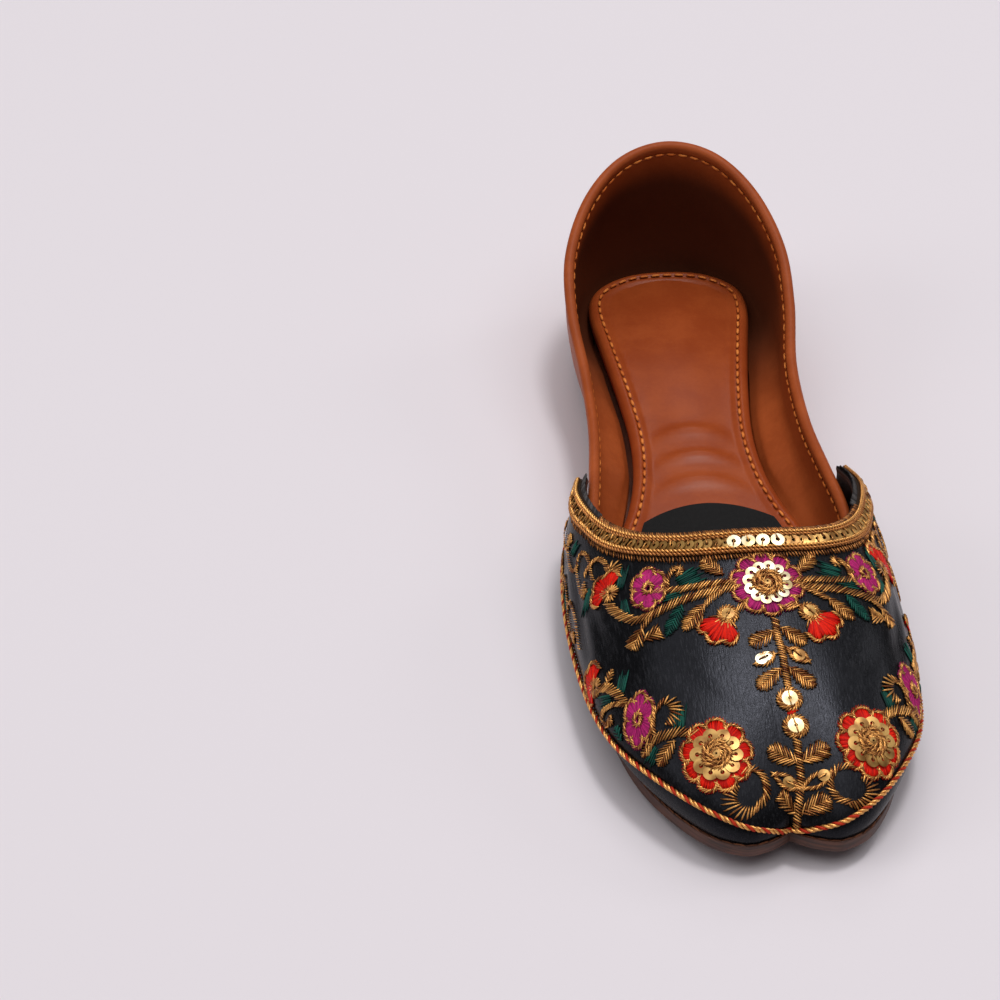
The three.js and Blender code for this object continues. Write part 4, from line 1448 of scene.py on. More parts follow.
class Growth:
    """Geometry trees that turn points and lines into stitches, sequins and strands."""

    @staticmethod
    def _open(name: str,
              inputs: dict[str, tuple[str, object]]) -> tuple[Graph, bpy.types.Node, bpy.types.Node]:
        """Start a tree with named inputs.

        Args:
            name: The tree's name.
            inputs: For each named input, its socket type and its default.

        Returns:
            The graph and the nodes of its inputs and outputs.
        """
        tree = bpy.data.node_groups.new(name, "GeometryNodeTree")
        tree.interface.new_socket("Carrier", in_out="INPUT", socket_type="NodeSocketGeometry")
        for key, (kind, default) in inputs.items():
            socket = tree.interface.new_socket(key, in_out="INPUT", socket_type=kind)
            if default is not None:
                socket.default_value = default
        tree.interface.new_socket("Grown", in_out="OUTPUT", socket_type="NodeSocketGeometry")
        graph = Graph(tree)
        return graph, graph.node("NodeGroupInput"), graph.node("NodeGroupOutput")

    @staticmethod
    def _close(graph: Graph, start: bpy.types.Node, end: bpy.types.Node, grown: bpy.types.NodeSocket,
               soft: bool) -> bpy.types.NodeTree:
        """End a tree in Realize Instances and Set Material."""
        real = graph.node("GeometryNodeRealizeInstances", None, {"Geometry": grown})
        shaded = graph.node("GeometryNodeSetShadeSmooth", None,
                            {"Geometry": real.outputs[0], "Shade Smooth": soft})
        finished = graph.node("GeometryNodeSetMaterial", None,
                              {"Geometry": shaded.outputs[0], "Material": start.outputs["Finish"]})
        graph.tree.links.new(finished.outputs[0], end.inputs["Grown"])
        return graph.tree

    @staticmethod
    def _strewn(graph: Graph, start: bpy.types.Node, shape: bpy.types.NodeSocket) -> bpy.types.NodeSocket:
        """Put a shape on every carried point, along its run, with a slight random turn."""
        read = {key: graph.node("GeometryNodeInputNamedAttribute", {"data_type": "FLOAT_VECTOR"},
                                {"Name": key}).outputs[0] for key in ("run", "face_up", "size")}
        turn = graph.node("FunctionNodeAxesToRotation", {"primary_axis": "Z", "secondary_axis": "X"},
                          {"Primary Axis": read["face_up"], "Secondary Axis": read["run"]})
        laid = graph.node("GeometryNodeInstanceOnPoints", None, {
            "Points": start.outputs["Carrier"], "Instance": shape, "Rotation": turn.outputs[0],
            "Scale": read["size"]})
        wobble = Channel(graph, start.outputs["Wobble"])
        low = graph.node("ShaderNodeCombineXYZ", None,
                         {"X": wobble * -0.6, "Y": wobble * -0.6, "Z": wobble * -1.0})
        high = graph.node("ShaderNodeCombineXYZ", None,
                          {"X": wobble * 0.6, "Y": wobble * 0.6, "Z": wobble * 1.0})
        any_turn = graph.node("FunctionNodeRandomValue", {"data_type": "FLOAT_VECTOR"},
                              {"Min": low.outputs[0], "Max": high.outputs[0], "Seed": start.outputs["Seed"]})
        turned = graph.node("GeometryNodeRotateInstances", None,
                            {"Instances": laid.outputs[0], "Rotation": any_turn.outputs[0]})
        return turned.outputs[0]

    @classmethod
    def stitches(cls) -> bpy.types.NodeTree:
        """Build the tree that sews an arched, tapered stitch at every point."""
        graph, start, end = cls._open("stitches", {
            "Finish": ("NodeSocketMaterial", None), "Sides": ("NodeSocketInt", 5),
            "Wobble": ("NodeSocketFloat", 0.05), "Seed": ("NodeSocketInt", 7)})
        line = graph.node("GeometryNodeCurvePrimitiveLine", None, {"Start": (-0.5, 0, 0), "End": (0.5, 0, 0)})
        fine = graph.node("GeometryNodeResampleCurve", None, {"Curve": line.outputs[0], "Count": 6})
        reach = graph.channel("GeometryNodeSplineParameter", None, None, "Factor") * 2 - 1
        square = reach * reach
        arch = graph.node("ShaderNodeCombineXYZ", None, {"Z": (1 - square) * 0.9})
        # reach: the square of the place along the stitch, from which the thread paints shade at its ends.
        marked = graph.node("GeometryNodeStoreNamedAttribute", {"data_type": "FLOAT", "domain": "POINT"},
                            {"Geometry": fine.outputs[0], "Name": "reach", "Value": square})
        bent = graph.node("GeometryNodeSetPosition", None,
                          {"Geometry": marked.outputs[0], "Offset": arch.outputs[0]})
        rim = graph.node("GeometryNodeCurvePrimitiveCircle", None,
                         {"Resolution": start.outputs["Sides"], "Radius": 0.5})
        tube = graph.node("GeometryNodeCurveToMesh", None, {
            "Curve": bent.outputs[0], "Profile Curve": rim.outputs[0], "Scale": 1 - square * square * 0.7,
            "Fill Caps": True})
        return cls._close(graph, start, end, cls._strewn(graph, start, tube.outputs[0]), True)

    @classmethod
    def sequins(cls) -> bpy.types.NodeTree:
        """Build the tree that lays a flat ring at every point."""
        graph, start, end = cls._open("sequins", {
            "Finish": ("NodeSocketMaterial", None), "Steps": ("NodeSocketInt", 24),
            "Hole": ("NodeSocketFloat", 0.22),
            "Wobble": ("NodeSocketFloat", 0.12), "Seed": ("NodeSocketInt", 11)})
        hole = Channel(graph, start.outputs["Hole"])
        loop = graph.node("GeometryNodeCurvePrimitiveCircle", None,
                          {"Resolution": start.outputs["Steps"], "Radius": (hole + 0.5) * 0.5})
        strip = graph.node("GeometryNodeCurvePrimitiveQuadrilateral", None,
                           {"Width": 0.5 - hole, "Height": 0.05})
        tipped = graph.node("GeometryNodeTransform", None,
                            {"Geometry": strip.outputs[0], "Rotation": (0.0, 0.0, math.radians(5))})
        ring = graph.node("GeometryNodeCurveToMesh", None,
                          {"Curve": loop.outputs[0], "Profile Curve": tipped.outputs[0]})
        return cls._close(graph, start, end, cls._strewn(graph, start, ring.outputs[0]), False)

    @classmethod
    def strands(cls) -> bpy.types.NodeTree:
        """Build the tree that turns lines of edges into round strands."""
        graph, start, end = cls._open("strands", {
            "Finish": ("NodeSocketMaterial", None), "Sides": ("NodeSocketInt", 6),
            "Thick": ("NodeSocketFloat", 0.0008)})
        curve = graph.node("GeometryNodeMeshToCurve", None, {"Mesh": start.outputs["Carrier"]})
        rim = graph.node("GeometryNodeCurvePrimitiveCircle", None,
                         {"Resolution": start.outputs["Sides"], "Radius": 0.5})
        tube = graph.node("GeometryNodeCurveToMesh", None, {
            "Curve": curve.outputs[0], "Profile Curve": rim.outputs[0], "Scale": start.outputs["Thick"],
            "Fill Caps": True})
        return cls._close(graph, start, end, tube.outputs[0], True)

    @classmethod
    def tree(cls, name: str) -> bpy.types.NodeTree:
        """Give the tree of this name, built once."""
        return bpy.data.node_groups.get(name) or getattr(cls, name)()


def grown(name: str, carrier: bpy.types.Object, tree: bpy.types.NodeTree, finish: Finish,
          **sizes: float) -> bpy.types.Object:
    """Grow a piece on a carrier and keep the result as a plain mesh.

    Args:
        name: The piece's name.
        carrier: The object that holds points or lines; it is removed.
        tree: The geometry tree.
        finish: The piece's finish.
        sizes: Values of the tree's named inputs.

    Returns:
        The piece.
    """
    modifier = carrier.modifiers.new("grow", "NODES")
    modifier.node_group = tree
    values = {"Finish": finish.material(), **sizes}
    for item in tree.interface.items_tree:
        if item.in_out == "INPUT" and item.name in values:
            modifier[item.identifier] = values[item.name]
    bpy.context.view_layer.update()
    evaluated = carrier.evaluated_get(bpy.context.evaluated_depsgraph_get())
    mesh = bpy.data.meshes.new_from_object(evaluated)
    mesh.name = name
    mesh.materials.clear()
    mesh.materials.append(finish.material())
    mesh.polygons.foreach_set("material_index", np.zeros(len(mesh.polygons), np.int32))
    carrier.modifiers.remove(modifier)
    bpy.data.objects.remove(carrier)
    piece = linked(name, mesh)
    return piece


def twisted(name: str, lines: Sequence[tuple[Array, Array]], finish: Finish, strands: int, first: int,
            used: int,
            thick: float, offset: float, pitch: float) -> bpy.types.Object:
    """Lay some strands of twisted cords along lines.

    Args:
        name: The piece's name.
        lines: Points and normals along each cord.
        finish: The strands' finish.
        strands: How many strands make a whole cord.
        first: Number of the first strand that this piece holds.
        used: How many strands it holds.
        thick: A strand's diameter.
        offset: Its distance from the cord's middle.
        pitch: Length of one turn.

    Returns:
        The piece.
    """
    points, edges, tones = [], [], []
    for middle, normals in lines:
        tangents = unit(np.gradient(middle, axis=0))
        side = unit(np.cross(tangents, normals))
        run = np.concatenate([[0], np.cumsum(np.linalg.norm(np.diff(middle, axis=0), axis=1))])
        for k in range(first, first + used):
            phase = 2 * math.pi * (run / pitch + k / strands)
            strand = middle + offset * (np.cos(phase)[:, None] * normals + np.sin(phase)[:, None] * side)
            start = len(points)
            points.extend(strand * MM)
            # Painted shade: a strand is lighter where it crosses the top of the cord and darker where it
            # turns under towards the vamp.
            tones.extend(0.5 + 0.45 * np.cos(phase))
            edges.extend((start + i, start + i + 1) for i in range(len(strand) - 1))
    mesh = bpy.data.meshes.new(name + "_lines")
    mesh.from_pydata([tuple(p) for p in points], edges, [])
    mesh.attributes.new("tone", "FLOAT", "POINT").data.foreach_set("value", np.array(tones, np.float32))
    return grown(name, linked(name + "_lines", mesh), Growth.tree("strands"), finish, Thick=thick * MM)


def along_vamp(low: float, high: float, steps: int, below: Callable[[Array, Array], Array],
               out: float) -> tuple[Array, Array]:
    """Give points and normals along the vamp.

    Args:
        low: First fractional rib.
        high: Last fractional rib.
        steps: How many steps lie between them.
        below: Distance below the throat edge, from the rib and its length.
        out: How far the points stand off the vamp.

    Returns:
        Points and normals in the part's frame.
    """
    u = np.linspace(low, high, steps + 1)
    lengths = VAMP_FACE.lengths(u)
    down = below(u, lengths)[:, None]
    base = VAMP_FACE.raised(u, down, np.zeros_like(down))[:, 0]
    raised = VAMP_FACE.raised(u, down, np.ones_like(down))[:, 0]
    normals = unit(raised - base)
    return base + normals * out, normals


@dataclass
class ThroatBraid:
    """The braid along the throat: a backing, four twisted cords, a row of sequins and an overcast edge."""

    width: float = 7.8
    from_edge: float = 0.6
    end: float = 0.03
    backing: float = 0.5
    bright_cords: tuple[float, ...] = (1.5, 5.9)
    dull_cords: tuple[float, ...] = (2.45, 6.95)
    cord_lift: float = 1.15
    strand: float = 0.62
    strand_offset: float = 0.3
    pitch: float = 2.3
    sequin_row: float = 4.2
    scale_step: float = 2.35
    sequin_size: float = 3.7
    flat_from: float = -0.35
    flat_to: float = 0.85
    flat_gap: float = 0.22
    flat_step: float = 3.4
    flat_tilt: float = 5.0
    scale_tilt: float = 17.0
    scale_size: float = 3.0
    overcast_step: float = 0.62
    dark_from: float = 4.4
    narrow_from: float = 5.2

    def laid(self, u: Array, below: float | Array) -> Array:
        """Give distances below the edge on the braid, which narrows towards both ends.

        Args:
            u: Fractional ribs.
            below: Distances where the braid has its full width.

        Returns:
            The distances at those ribs.
        """
        kept, held = 0.45, 1.3
        share = smoothstep(np.abs(u), self.narrow_from, float(LAST_VAMP_RIB))
        return below * (1 - (1 - kept) * share) + held * share * (1 - below / self.width)

    def build(self) -> list[bpy.types.Object]:
        """Make the braid in place of its solid."""
        backing = self.back()
        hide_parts("throat_braid")
        bright = [self.cord_line(b) for b in self.bright_cords]
        dull = [self.cord_line(b) for b in self.dull_cords]
        sizes = {"thick": self.strand, "offset": self.strand_offset, "pitch": self.pitch}
        pieces = [
            backing,
            twisted("braid_cord_bright", bright, GOLD_THREAD, 2, 0, 2, **sizes),
            twisted("braid_cord_dull", dull, BRONZE_THREAD, 2, 0, 2, **sizes),
            *self.sequins(),
            *self.overcast(),
            self.tacks(),
        ]
        return pieces

    def cord_line(self, below: float) -> tuple[Array, Array]:
        """Give a cord's middle line, a distance below the throat edge."""
        last = LAST_VAMP_RIB - 2 * self.end
        return along_vamp(-last, last, 1100, lambda u, lengths: self.laid(u, below), self.cord_lift)

    def back(self) -> bpy.types.Object:
        """Make the backing, thicker under the cords."""
        last = LAST_VAMP_RIB - self.end
        u = np.linspace(-last, last, 241)
        place_on = np.linspace(0, 1, 17)
        rise = self.backing * np.clip(np.sin(math.pi * place_on) * 3, 0.2, 1)
        below = self.laid(u[:, None], (self.from_edge + place_on * self.width)[None, :])
        top = VAMP_FACE.raised(u, below, CLEARANCE * 0.4 + rise[None, :] * np.ones((len(u), 1)))
        under = VAMP_FACE.raised(u, below, np.full_like(below, 0.04))
        piece = ring_wall("braid_backing", np.concatenate([top, under[:, ::-1]], 1))
        BACKING_CLOTH.put_on(piece)
        return piece

    def sequins(self) -> list[bpy.types.Object]:
        """Lay the row of sequins between the cords: a few flat ones in the middle, in the pale foil as a
        painted highlight, and dull ones like scales.
        """
        last = LAST_VAMP_RIB - 0.9
        flat = ((self.flat_from, self.flat_to),)
        rest = ((-last, self.flat_from - self.flat_gap), (self.flat_to + self.flat_gap, last))
        pieces = []
        ties = Stitches()
        # Painted highlight: the flat middle ones get the pale foil; the rest keep the braid's gold foil.
        for name, foil, spans, degrees, step, lift, size in (
                ("braid_sequins_painted_highlight", SEQUIN_FOIL, flat, self.flat_tilt, self.flat_step, 1.7, self.sequin_size),
                ("braid_scales", GOLD_FOIL, rest, self.scale_tilt, self.scale_step, 1.2, self.scale_size)):
            tilt = math.radians(degrees)
            rings = Stitches()
            for low, high in spans:
                base, normals = along_vamp(low, high, 900,
                                           lambda u, lengths: self.laid(u, self.sequin_row), 0.0)
                middle = resampled(base, step)
                up = normals[[int(np.argmin(np.linalg.norm(base - m, axis=1))) for m in middle]]
                run = unit(np.gradient(middle, axis=0))
                rings.places.append(middle + up * lift)
                rings.runs.append(run)
                rings.normals.append(unit(math.cos(tilt) * up - math.sin(tilt) * run))
                rings.sizes.append(np.full((len(middle), 3), size))
                down = unit(np.cross(up, run)) * np.where(np.arange(len(middle)) % 2, 1, -1)[:, None]
                start = middle + up * (lift + 0.25)
                ties.add(start - 0.15 * down, start + 1.15 * down - 0.3 * run, up, 0.4, 0.4)
            pieces.append(grown(name, rings.carrier(name + "_points"), Growth.tree("sequins"), foil,
                                Steps=20, Hole=0.16, Wobble=0.14, Seed=3))
        pieces.append(grown("braid_ties", ties.carrier("tie_points"), Growth.tree("stitches"), GOLD_THREAD,
                            Wobble=0.1, Seed=8))
        return pieces

    def overcast(self) -> list[bpy.types.Object]:
        """Sew slanting stitches over the throat edge, wider and dark on the wings."""
        last = LAST_VAMP_RIB - 0.04
        top = along_vamp(-last, last, 1600, lambda u, lengths: np.full_like(u, 0.1), 0.1)[0]
        behind = along_vamp(-last, last, 1600, lambda u, lengths: np.full_like(u, 0.1), -1.7)[0]
        low, normals = along_vamp(
            -last, last, 1600, lambda u, lengths: 1.25 + 0.6 * smoothstep(np.abs(u), 3.8, 5.0), 0.5)
        count = int(np.linalg.norm(np.diff(top, axis=0), axis=1).sum() / self.overcast_step)
        where = np.linspace(0, len(top) - 9, count).astype(int)
        dark = np.abs(np.linspace(-last, last, len(top))[where]) > self.dark_from
        pieces = []
        for name, thread, begin, chosen in (("throat_overcast", BRONZE_THREAD, top, where[~dark]),
                                            ("wing_overcast", CHARCOAL_THREAD, behind, where[dark])):
            sewn = Stitches()
            sewn.add(begin[chosen], low[chosen + 8], normals[chosen], 0.55, 0.5)
            pieces.append(grown(name, sewn.carrier(name + "_points"), Growth.tree("stitches"), thread,
                                Wobble=0.08, Seed=5))
        return pieces

    def tacks(self) -> bpy.types.Object:
        """Sew the small stitches that hold the braid's lower edge."""
        last = LAST_VAMP_RIB - 0.1
        high, normals = along_vamp(-last, last, 1600, lambda u, lengths: self.laid(u, 7.1), 0.55)
        low = along_vamp(-last, last, 1600, lambda u, lengths: self.laid(u, 8.75), 0.05)[0]
        count = int(np.linalg.norm(np.diff(high, axis=0), axis=1).sum() / 0.95)
        where = np.linspace(6, len(high) - 7, count).astype(int)
        sewn = Stitches()
        sewn.add(high[where], low[where + 4], normals[where], 0.42, 0.4)
        return grown("braid_tacks", sewn.carrier("tack_points"), Growth.tree("stitches"), BRONZE_THREAD,
                     Wobble=0.22, Seed=9)


@dataclass
class SeamCord:
    """The twisted gold and red cord low round the vamp."""

    end: float = 0.25
    lift: float = 0.62
    strand: float = 0.72
    offset: float = 0.4
    pitch: float = 4.4

    def build(self) -> list[bpy.types.Object]:
        """Make the cord in place of its solid."""
        last = LAST_VAMP_RIB - self.end

        def below(u: Array, lengths: Array) -> Array:
            return lengths - smooth(SEAM_RISE, np.abs(u))

        line = [along_vamp(-last, last, 1500, below, self.lift)]
        sizes = {"thick": self.strand, "offset": self.offset, "pitch": self.pitch}
        gold = twisted("seam_cord_gold", line, GOLD_THREAD, 3, 0, 2, **sizes)
        red = twisted("seam_cord_red", line, SEAM_THREAD, 3, 2, 1, **sizes)
        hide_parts("seam_cord")
        return [gold, red]


@dataclass
class Seams:
    """The tan stitch rows of the rim and the bed, and the dark ones of the sole's edge."""

    bed: Bed
    quarter: Quarter
    long: float = 1.6
    step: float = 3.6
    wide: float = 0.85

    def row(self, name: str, points: Array, normals: Array, finish: Finish, lift: float) -> bpy.types.Object:
        """Sew one row of running stitches along points a step apart."""
        run = unit(np.gradient(points, axis=0))
        half = run * (self.long / 2)
        sewn = Stitches()
        sewn.add(points - half, points + half, normals, self.wide, 0.5, lift)
        carrier = sewn.carrier(name + "_points")
        return grown(name, carrier, Growth.tree("stitches"), finish, Wobble=0.05, Seed=2)

    def build(self) -> list[bpy.types.Object]:
        """Sew the rows."""
        w = np.linspace(-LAST_QUARTER_RIB + 0.3, LAST_QUARTER_RIB - 0.3, 900)
        below = np.full((len(w), 1), self.quarter.stitch_below)
        inner = QUARTER_FACE.raised(w, below, np.full_like(below, -QUARTER_WALL + 0.25))[:, 0]
        outer = QUARTER_FACE.raised(w, below, np.full_like(below, 1.0))[:, 0]
        inward = unit(inner - outer)
        spots = resampled(inner, self.step)
        nearest = np.array([np.argmin(np.linalg.norm(inner - s, axis=1)) for s in spots])
        rim = self.row("rim_stitches", spots, inward[nearest], TAN_THREAD, 0.05)
        ring_points, ring_normals = self.bed.stitch_ring(self.step)
        ring = self.row("bed_stitches", ring_points, ring_normals, TAN_THREAD, 0.0)
        return [rim, ring, self.sole_row()]

    def sole_row(self) -> bpy.types.Object:
        """Sew the row round the top edge of the sole."""
        inset, spacing, half_long, wide, high, sunk = 0.42, 3.2, 1.1, 0.45, 0.28, -0.02
        plan = sole_points(np.linspace(0.3, HEEL_ROW, 900), inset)
        right = np.concatenate([plan, (SOLE_THICK + spring_at(plan[:, 1]))[:, None]], -1)
        both = np.concatenate([right, (right * OTHER_SIDE)[::-1]])
        points = resampled(place(both), spacing)
        sewn = Stitches()
        half = unit(np.gradient(points, axis=0)) * half_long
        sewn.add(points - half, points + half, np.tile(RISING, (len(points), 1)), wide, high, sunk)
        return grown("sole_stitches", sewn.carrier("sole_points"), Growth.tree("stitches"), SOLE_THREAD,
                     Wobble=0.04, Seed=4)


class Half(Enum):
    """The half of the pattern that is sewn: as it lies in the photograph's left half, or mirrored."""

    DRAWN = 0
    MIRRORED = 1


@dataclass
class Embroidery:
    """The flowers, buds, leaves and stems on the vamp."""

    canvas: Canvas
    gold: Stitches = field(default_factory=Stitches)
    red: Stitches = field(default_factory=Stitches)
    magenta: Stitches = field(default_factory=Stitches)
    green: Stitches = field(default_factory=Stitches)
    rings: Stitches = field(default_factory=Stitches)
    discs: Stitches = field(default_factory=Stitches)
    dull: Stitches = field(default_factory=Stitches)
    hole_shade_marks: Stitches = field(default_factory=Stitches)
    half: Half = Half.DRAWN

    def spots(self, *spots: Spot) -> Array:
        """Give places of the drawn half, or their mirror places, from places of the photograph."""
        points = self.canvas.photo(spots)
        return self.canvas.mirror(points) if self.half is Half.MIRRORED else points

    def side(self, *spots: Spot) -> Array:
        """Give places beyond what the photograph shows, by rib and share of its length."""
        points = self.canvas.ribs(spots)
        return self.canvas.mirror(points) if self.half is Half.MIRRORED else points

    def frame(self, centre: Array, toward: Array) -> tuple[Array, Array, Array]:
        """Give two directions in the surface at a centre, the first towards a point, and the centre."""
        place_on, normal = self.canvas.drop(centre[None])
        ahead = toward - place_on[0]
        ahead = unit(ahead - normal[0] * (ahead @ normal[0]))
        return ahead, np.cross(normal[0], ahead), place_on[0]

    def sew(self, store: Stitches, start: Array, end: Array, wide: float, high: float,
            lift: float = 0.0) -> None:
        """Sew stitches whose ends are dropped to the surface."""
        low, _ = self.canvas.drop(start)
        far, _ = self.canvas.drop(end)
        _, normals = self.canvas.drop((low + far) / 2)
        store.add(low, far, normals, wide, high, lift)

    def rope(self, path: Array, wide: float = 1.5, step: float = 0.9, slant: float = 42.0, lift: float = 0.12,
             store: Stitches | None = None, thread: float = 0.46) -> None:
        """Sew a stem of slanting stitches along a path.

        Args:
            path: Places to run through.
            wide: The stem's width.
            step: Distance between stitches.
            slant: Angle of the stitches to the stem, in degrees.
            lift: How far they stand off the surface.
            store: Where the stitches go; gold if left out.
            thread: Width of a stitch.
        """
        line, normals = self.canvas.drop(through(path, step))
        run = unit(np.gradient(line, axis=0))
        side = np.cross(normals, run)
        angle = math.radians(slant)
        lean = math.cos(angle) * run + math.sin(angle) * side
        reach = wide / math.sin(angle) / 2 * self.uneven(len(line), 0.14)
        (store or self.gold).add(line - lean * reach, line + lean * reach, normals, thread, 0.46, lift)

    @staticmethod
    def uneven(count: int, spread: float) -> Array:
        """Give a column of factors near one, alike on every run."""
        order = np.arange(count)
        return (1 + spread * np.sin(order * 2.399 + 0.7) * np.cos(order * 1.07))[:, None]

    def leaf(self, base: Array, tip: Array, wide: float, store: Stitches | None = None, step: float = 0.8,
             thread: float = 0.43) -> None:
        """Sew a feathered leaf from its base to its tip."""
        ahead, side, start = self.frame(base, tip)
        long = float(np.linalg.norm(tip - base))
        count = max(int(long / step), 4)
        t = np.linspace(0.02, 0.9, count)
        swell = wide / 2 * np.sin(math.pi * (t * 0.9 + 0.08) ** 0.72) ** 0.9 + 0.06
        half = swell[:, None] * self.uneven(count, 0.14)
        for sign in (1, -1):
            low = start + (t * long)[:, None] * ahead - sign * 0.1 * side
            reach = np.minimum((t * long)[:, None] + half * 1.05, long)
            far = start + reach * ahead + sign * half * side
            self.sew(store or self.gold, low, far, thread, 0.48, 0.08)
            # Painted shade: small dark marks stand for the shade inside the needle holes beside the leaf.
            self.sew(self.hole_shade_marks, far + 0.2 * sign * side, far + 0.55 * sign * side, 0.34, 0.1)
        vein, tip = (start + 0.78 * long * ahead)[None], (start + long * ahead)[None]
        self.sew(store or self.gold, vein, tip, thread, 0.45)

    def strokes(self, base: Array, tip: Array, wide: float, count: int, store: Stitches) -> None:
        """Sew a few long stitches side by side."""
        ahead, side, start = self.frame(base, tip)
        long = float(np.linalg.norm(tip - base))
        across = np.linspace(-wide / 2, wide / 2, count)
        bend = 0.2 * long * np.cos(np.arange(count) * 2.1)
        low = start + across[:, None] * side + (0.12 * bend)[:, None] * ahead
        far = start + across[:, None] * side * 1.25 + (long + bend)[:, None] * ahead
        self.sew(store, low, far, 0.55, 0.35)

    def fan(self, store: Stitches, centre: Array, ahead: Array, side: Array, angles: Array, inner: Array,
            outer: Array, thread: float = 0.55, pinch: float = 0.9) -> None:
        """Sew radial stitches from an inner to an outer radius at each angle."""
        close, wide = angles * pinch + angles.mean() * (1 - pinch), angles
        low = centre + inner[:, None] * (np.cos(close)[:, None] * ahead + np.sin(close)[:, None] * side)
        far = centre + outer[:, None] * (np.cos(wide)[:, None] * ahead + np.sin(wide)[:, None] * side)
        self.sew(store, low, far, thread, 0.42, 0.05)

    def arc(self, centre: Array, ahead: Array, side: Array, angles: Array, radius: Array) -> Array:
        """Give points round a centre."""
        turned = np.cos(angles)[:, None] * ahead + np.sin(angles)[:, None] * side
        return centre + radius[:, None] * turned

    def coil(self, centre: Array, ahead: Array, side: Array, radius: float, lift: float) -> None:
        """Sew rings of gold rope inside each other."""
        angles = np.linspace(0, 2 * math.pi, 25)
        for reach in np.arange(radius - 0.4, 0.5, -1.1):
            ring = reach * (1 + 0.05 * np.sin(angles * 5 + reach))
            self.rope(self.arc(centre, ahead, side, angles, ring), 0.9, 0.62, 34.0, lift, thread=0.42)

    def sequin(self, centre: Array, size: float, lift: float, lean: Array | None = None,
               bright: bool = True) -> None:
        """Lay one sequin: a ring where it leans on its neighbour, else a disc with a small hole."""
        store = (self.discs if lean is None else self.rings) if bright else self.dull
        place_on, normal = self.canvas.drop(centre[None])
        store.places.append(place_on + normal * lift)
        store.runs.append(unit(np.cross(normal, np.array([[0.3, 1.0, 0.2]]))))
        store.normals.append(normal if lean is None else unit(normal + lean))
        store.sizes.append(np.full((1, 3), size))

    def flower(self, centre: Array, toward: Array, radius: float, petals: int, store: Stitches,
               sequins: int = 0,
               coil: float = 2.9, narrow: float = 1.0, bright: bool = False) -> None:
        """Sew a whole flower.

        Args:
            centre: Its centre.
            toward: A point that its first petal looks at.
            radius: Its radius with the outline.
            petals: Number of petals.
            store: Thread of the petals.
            sequins: Number of sequins in its ring.
            coil: Radius of the gold coil at its centre.
            narrow: Share of its width that it has across.
            bright: Whether its sequins are of the bright foil.
        """
        ahead, side, middle = self.frame(centre, toward)
        side = side * narrow
        half = math.pi / petals
        threads = max(int(2 * half * radius / 0.42), 8)
        share = np.linspace(-0.93, 0.93, threads)
        for k in range(petals):
            angle = 2 * half * k
            bulge = radius * (0.8 + 0.16 * np.sqrt(1 - share**2))
            self.fan(store, middle, ahead, side, angle + share * half, np.full(threads, coil * 0.92), bulge)
            rim_share = np.linspace(-1, 1, 9)
            rim = radius * (0.78 + 0.22 * np.sqrt(np.clip(1 - rim_share**2, 0, 1)))
            edge = self.arc(middle, ahead, side, angle + rim_share * half, rim)
            self.rope(edge, 0.7, 0.8, 30.0, 0.2, thread=0.46)
        if sequins:
            ring = radius * 0.52
            size = 2 * math.pi * ring / sequins * 1.22
            for k in range(sequins):
                angle = np.array([2 * math.pi * k / sequins + 0.3])
                spot = self.arc(middle, ahead, side, angle, np.array([ring]))[0]
                tangent = -math.sin(angle[0]) * ahead + math.cos(angle[0]) * side
                self.sequin(spot, size, 1.0, (0.13 * tangent)[None], bright)
                ends = self.arc(middle, ahead, side, angle[[0, 0]], np.array([ring - 1.3, ring]))
                self.sew(self.gold, ends[:1], ends[1:], 0.46, 0.4, 1.05)
        self.coil(middle, ahead, side, coil, 1.0 if sequins else 0.5)
        if sequins:
            self.sequin(middle, 2.0, 1.45, None, False)

    def bud(self, calyx: Array, tip: Array, store: Stitches, spread: float = 62.0, lobes: int = 3,
            ring: bool = True) -> None:
        """Sew a half-open bud: a gold calyx, a fan of petals and their outline."""
        ahead, side, middle = self.frame(calyx, tip)
        long = float(np.linalg.norm(tip - calyx))
        wide = math.radians(spread)
        inner = 0.3 * long
        count = max(int(2 * wide * long * 0.75 / 0.42), 10)
        share = np.linspace(-1, 1, count)
        lobed = np.abs(np.cos(share * math.pi * lobes / 2 + (0 if lobes % 2 else math.pi / 2)))
        reach = long * (0.86 + 0.12 * lobed - 0.16 * share**2)
        self.fan(store, middle, ahead, side, share * wide, np.full(count, inner), reach, pinch=0.7)
        rim = np.linspace(-1.02, 1.02, 8 * lobes + 1)
        rim_lobed = np.abs(np.cos(rim * math.pi * lobes / 2 + (0 if lobes % 2 else math.pi / 2)))
        edge = long * (0.9 + 0.14 * rim_lobed - 0.16 * rim**2)
        self.rope(self.arc(middle, ahead, side, rim * wide, edge), 0.7, 0.8, 30.0, 0.2, thread=0.46)
        spikes = np.radians(np.linspace(-55, 55, 9))
        self.fan(self.gold, middle, ahead, side, spikes, np.full(9, inner * 0.7),
                 np.tile([0.52 * long, 0.44 * long, 0.48 * long], 3), 0.5)
        if ring:
            self.ringed(middle, tip, 3.4, False)
            return
        round_about = np.linspace(0, 2 * math.pi, 19)[:-1]
        size = 0.34 * long
        inner, outer = np.full(18, size * 0.35), np.full(18, size)
        self.fan(self.gold, middle, ahead, side, round_about, inner, outer, 0.5, 1.0)

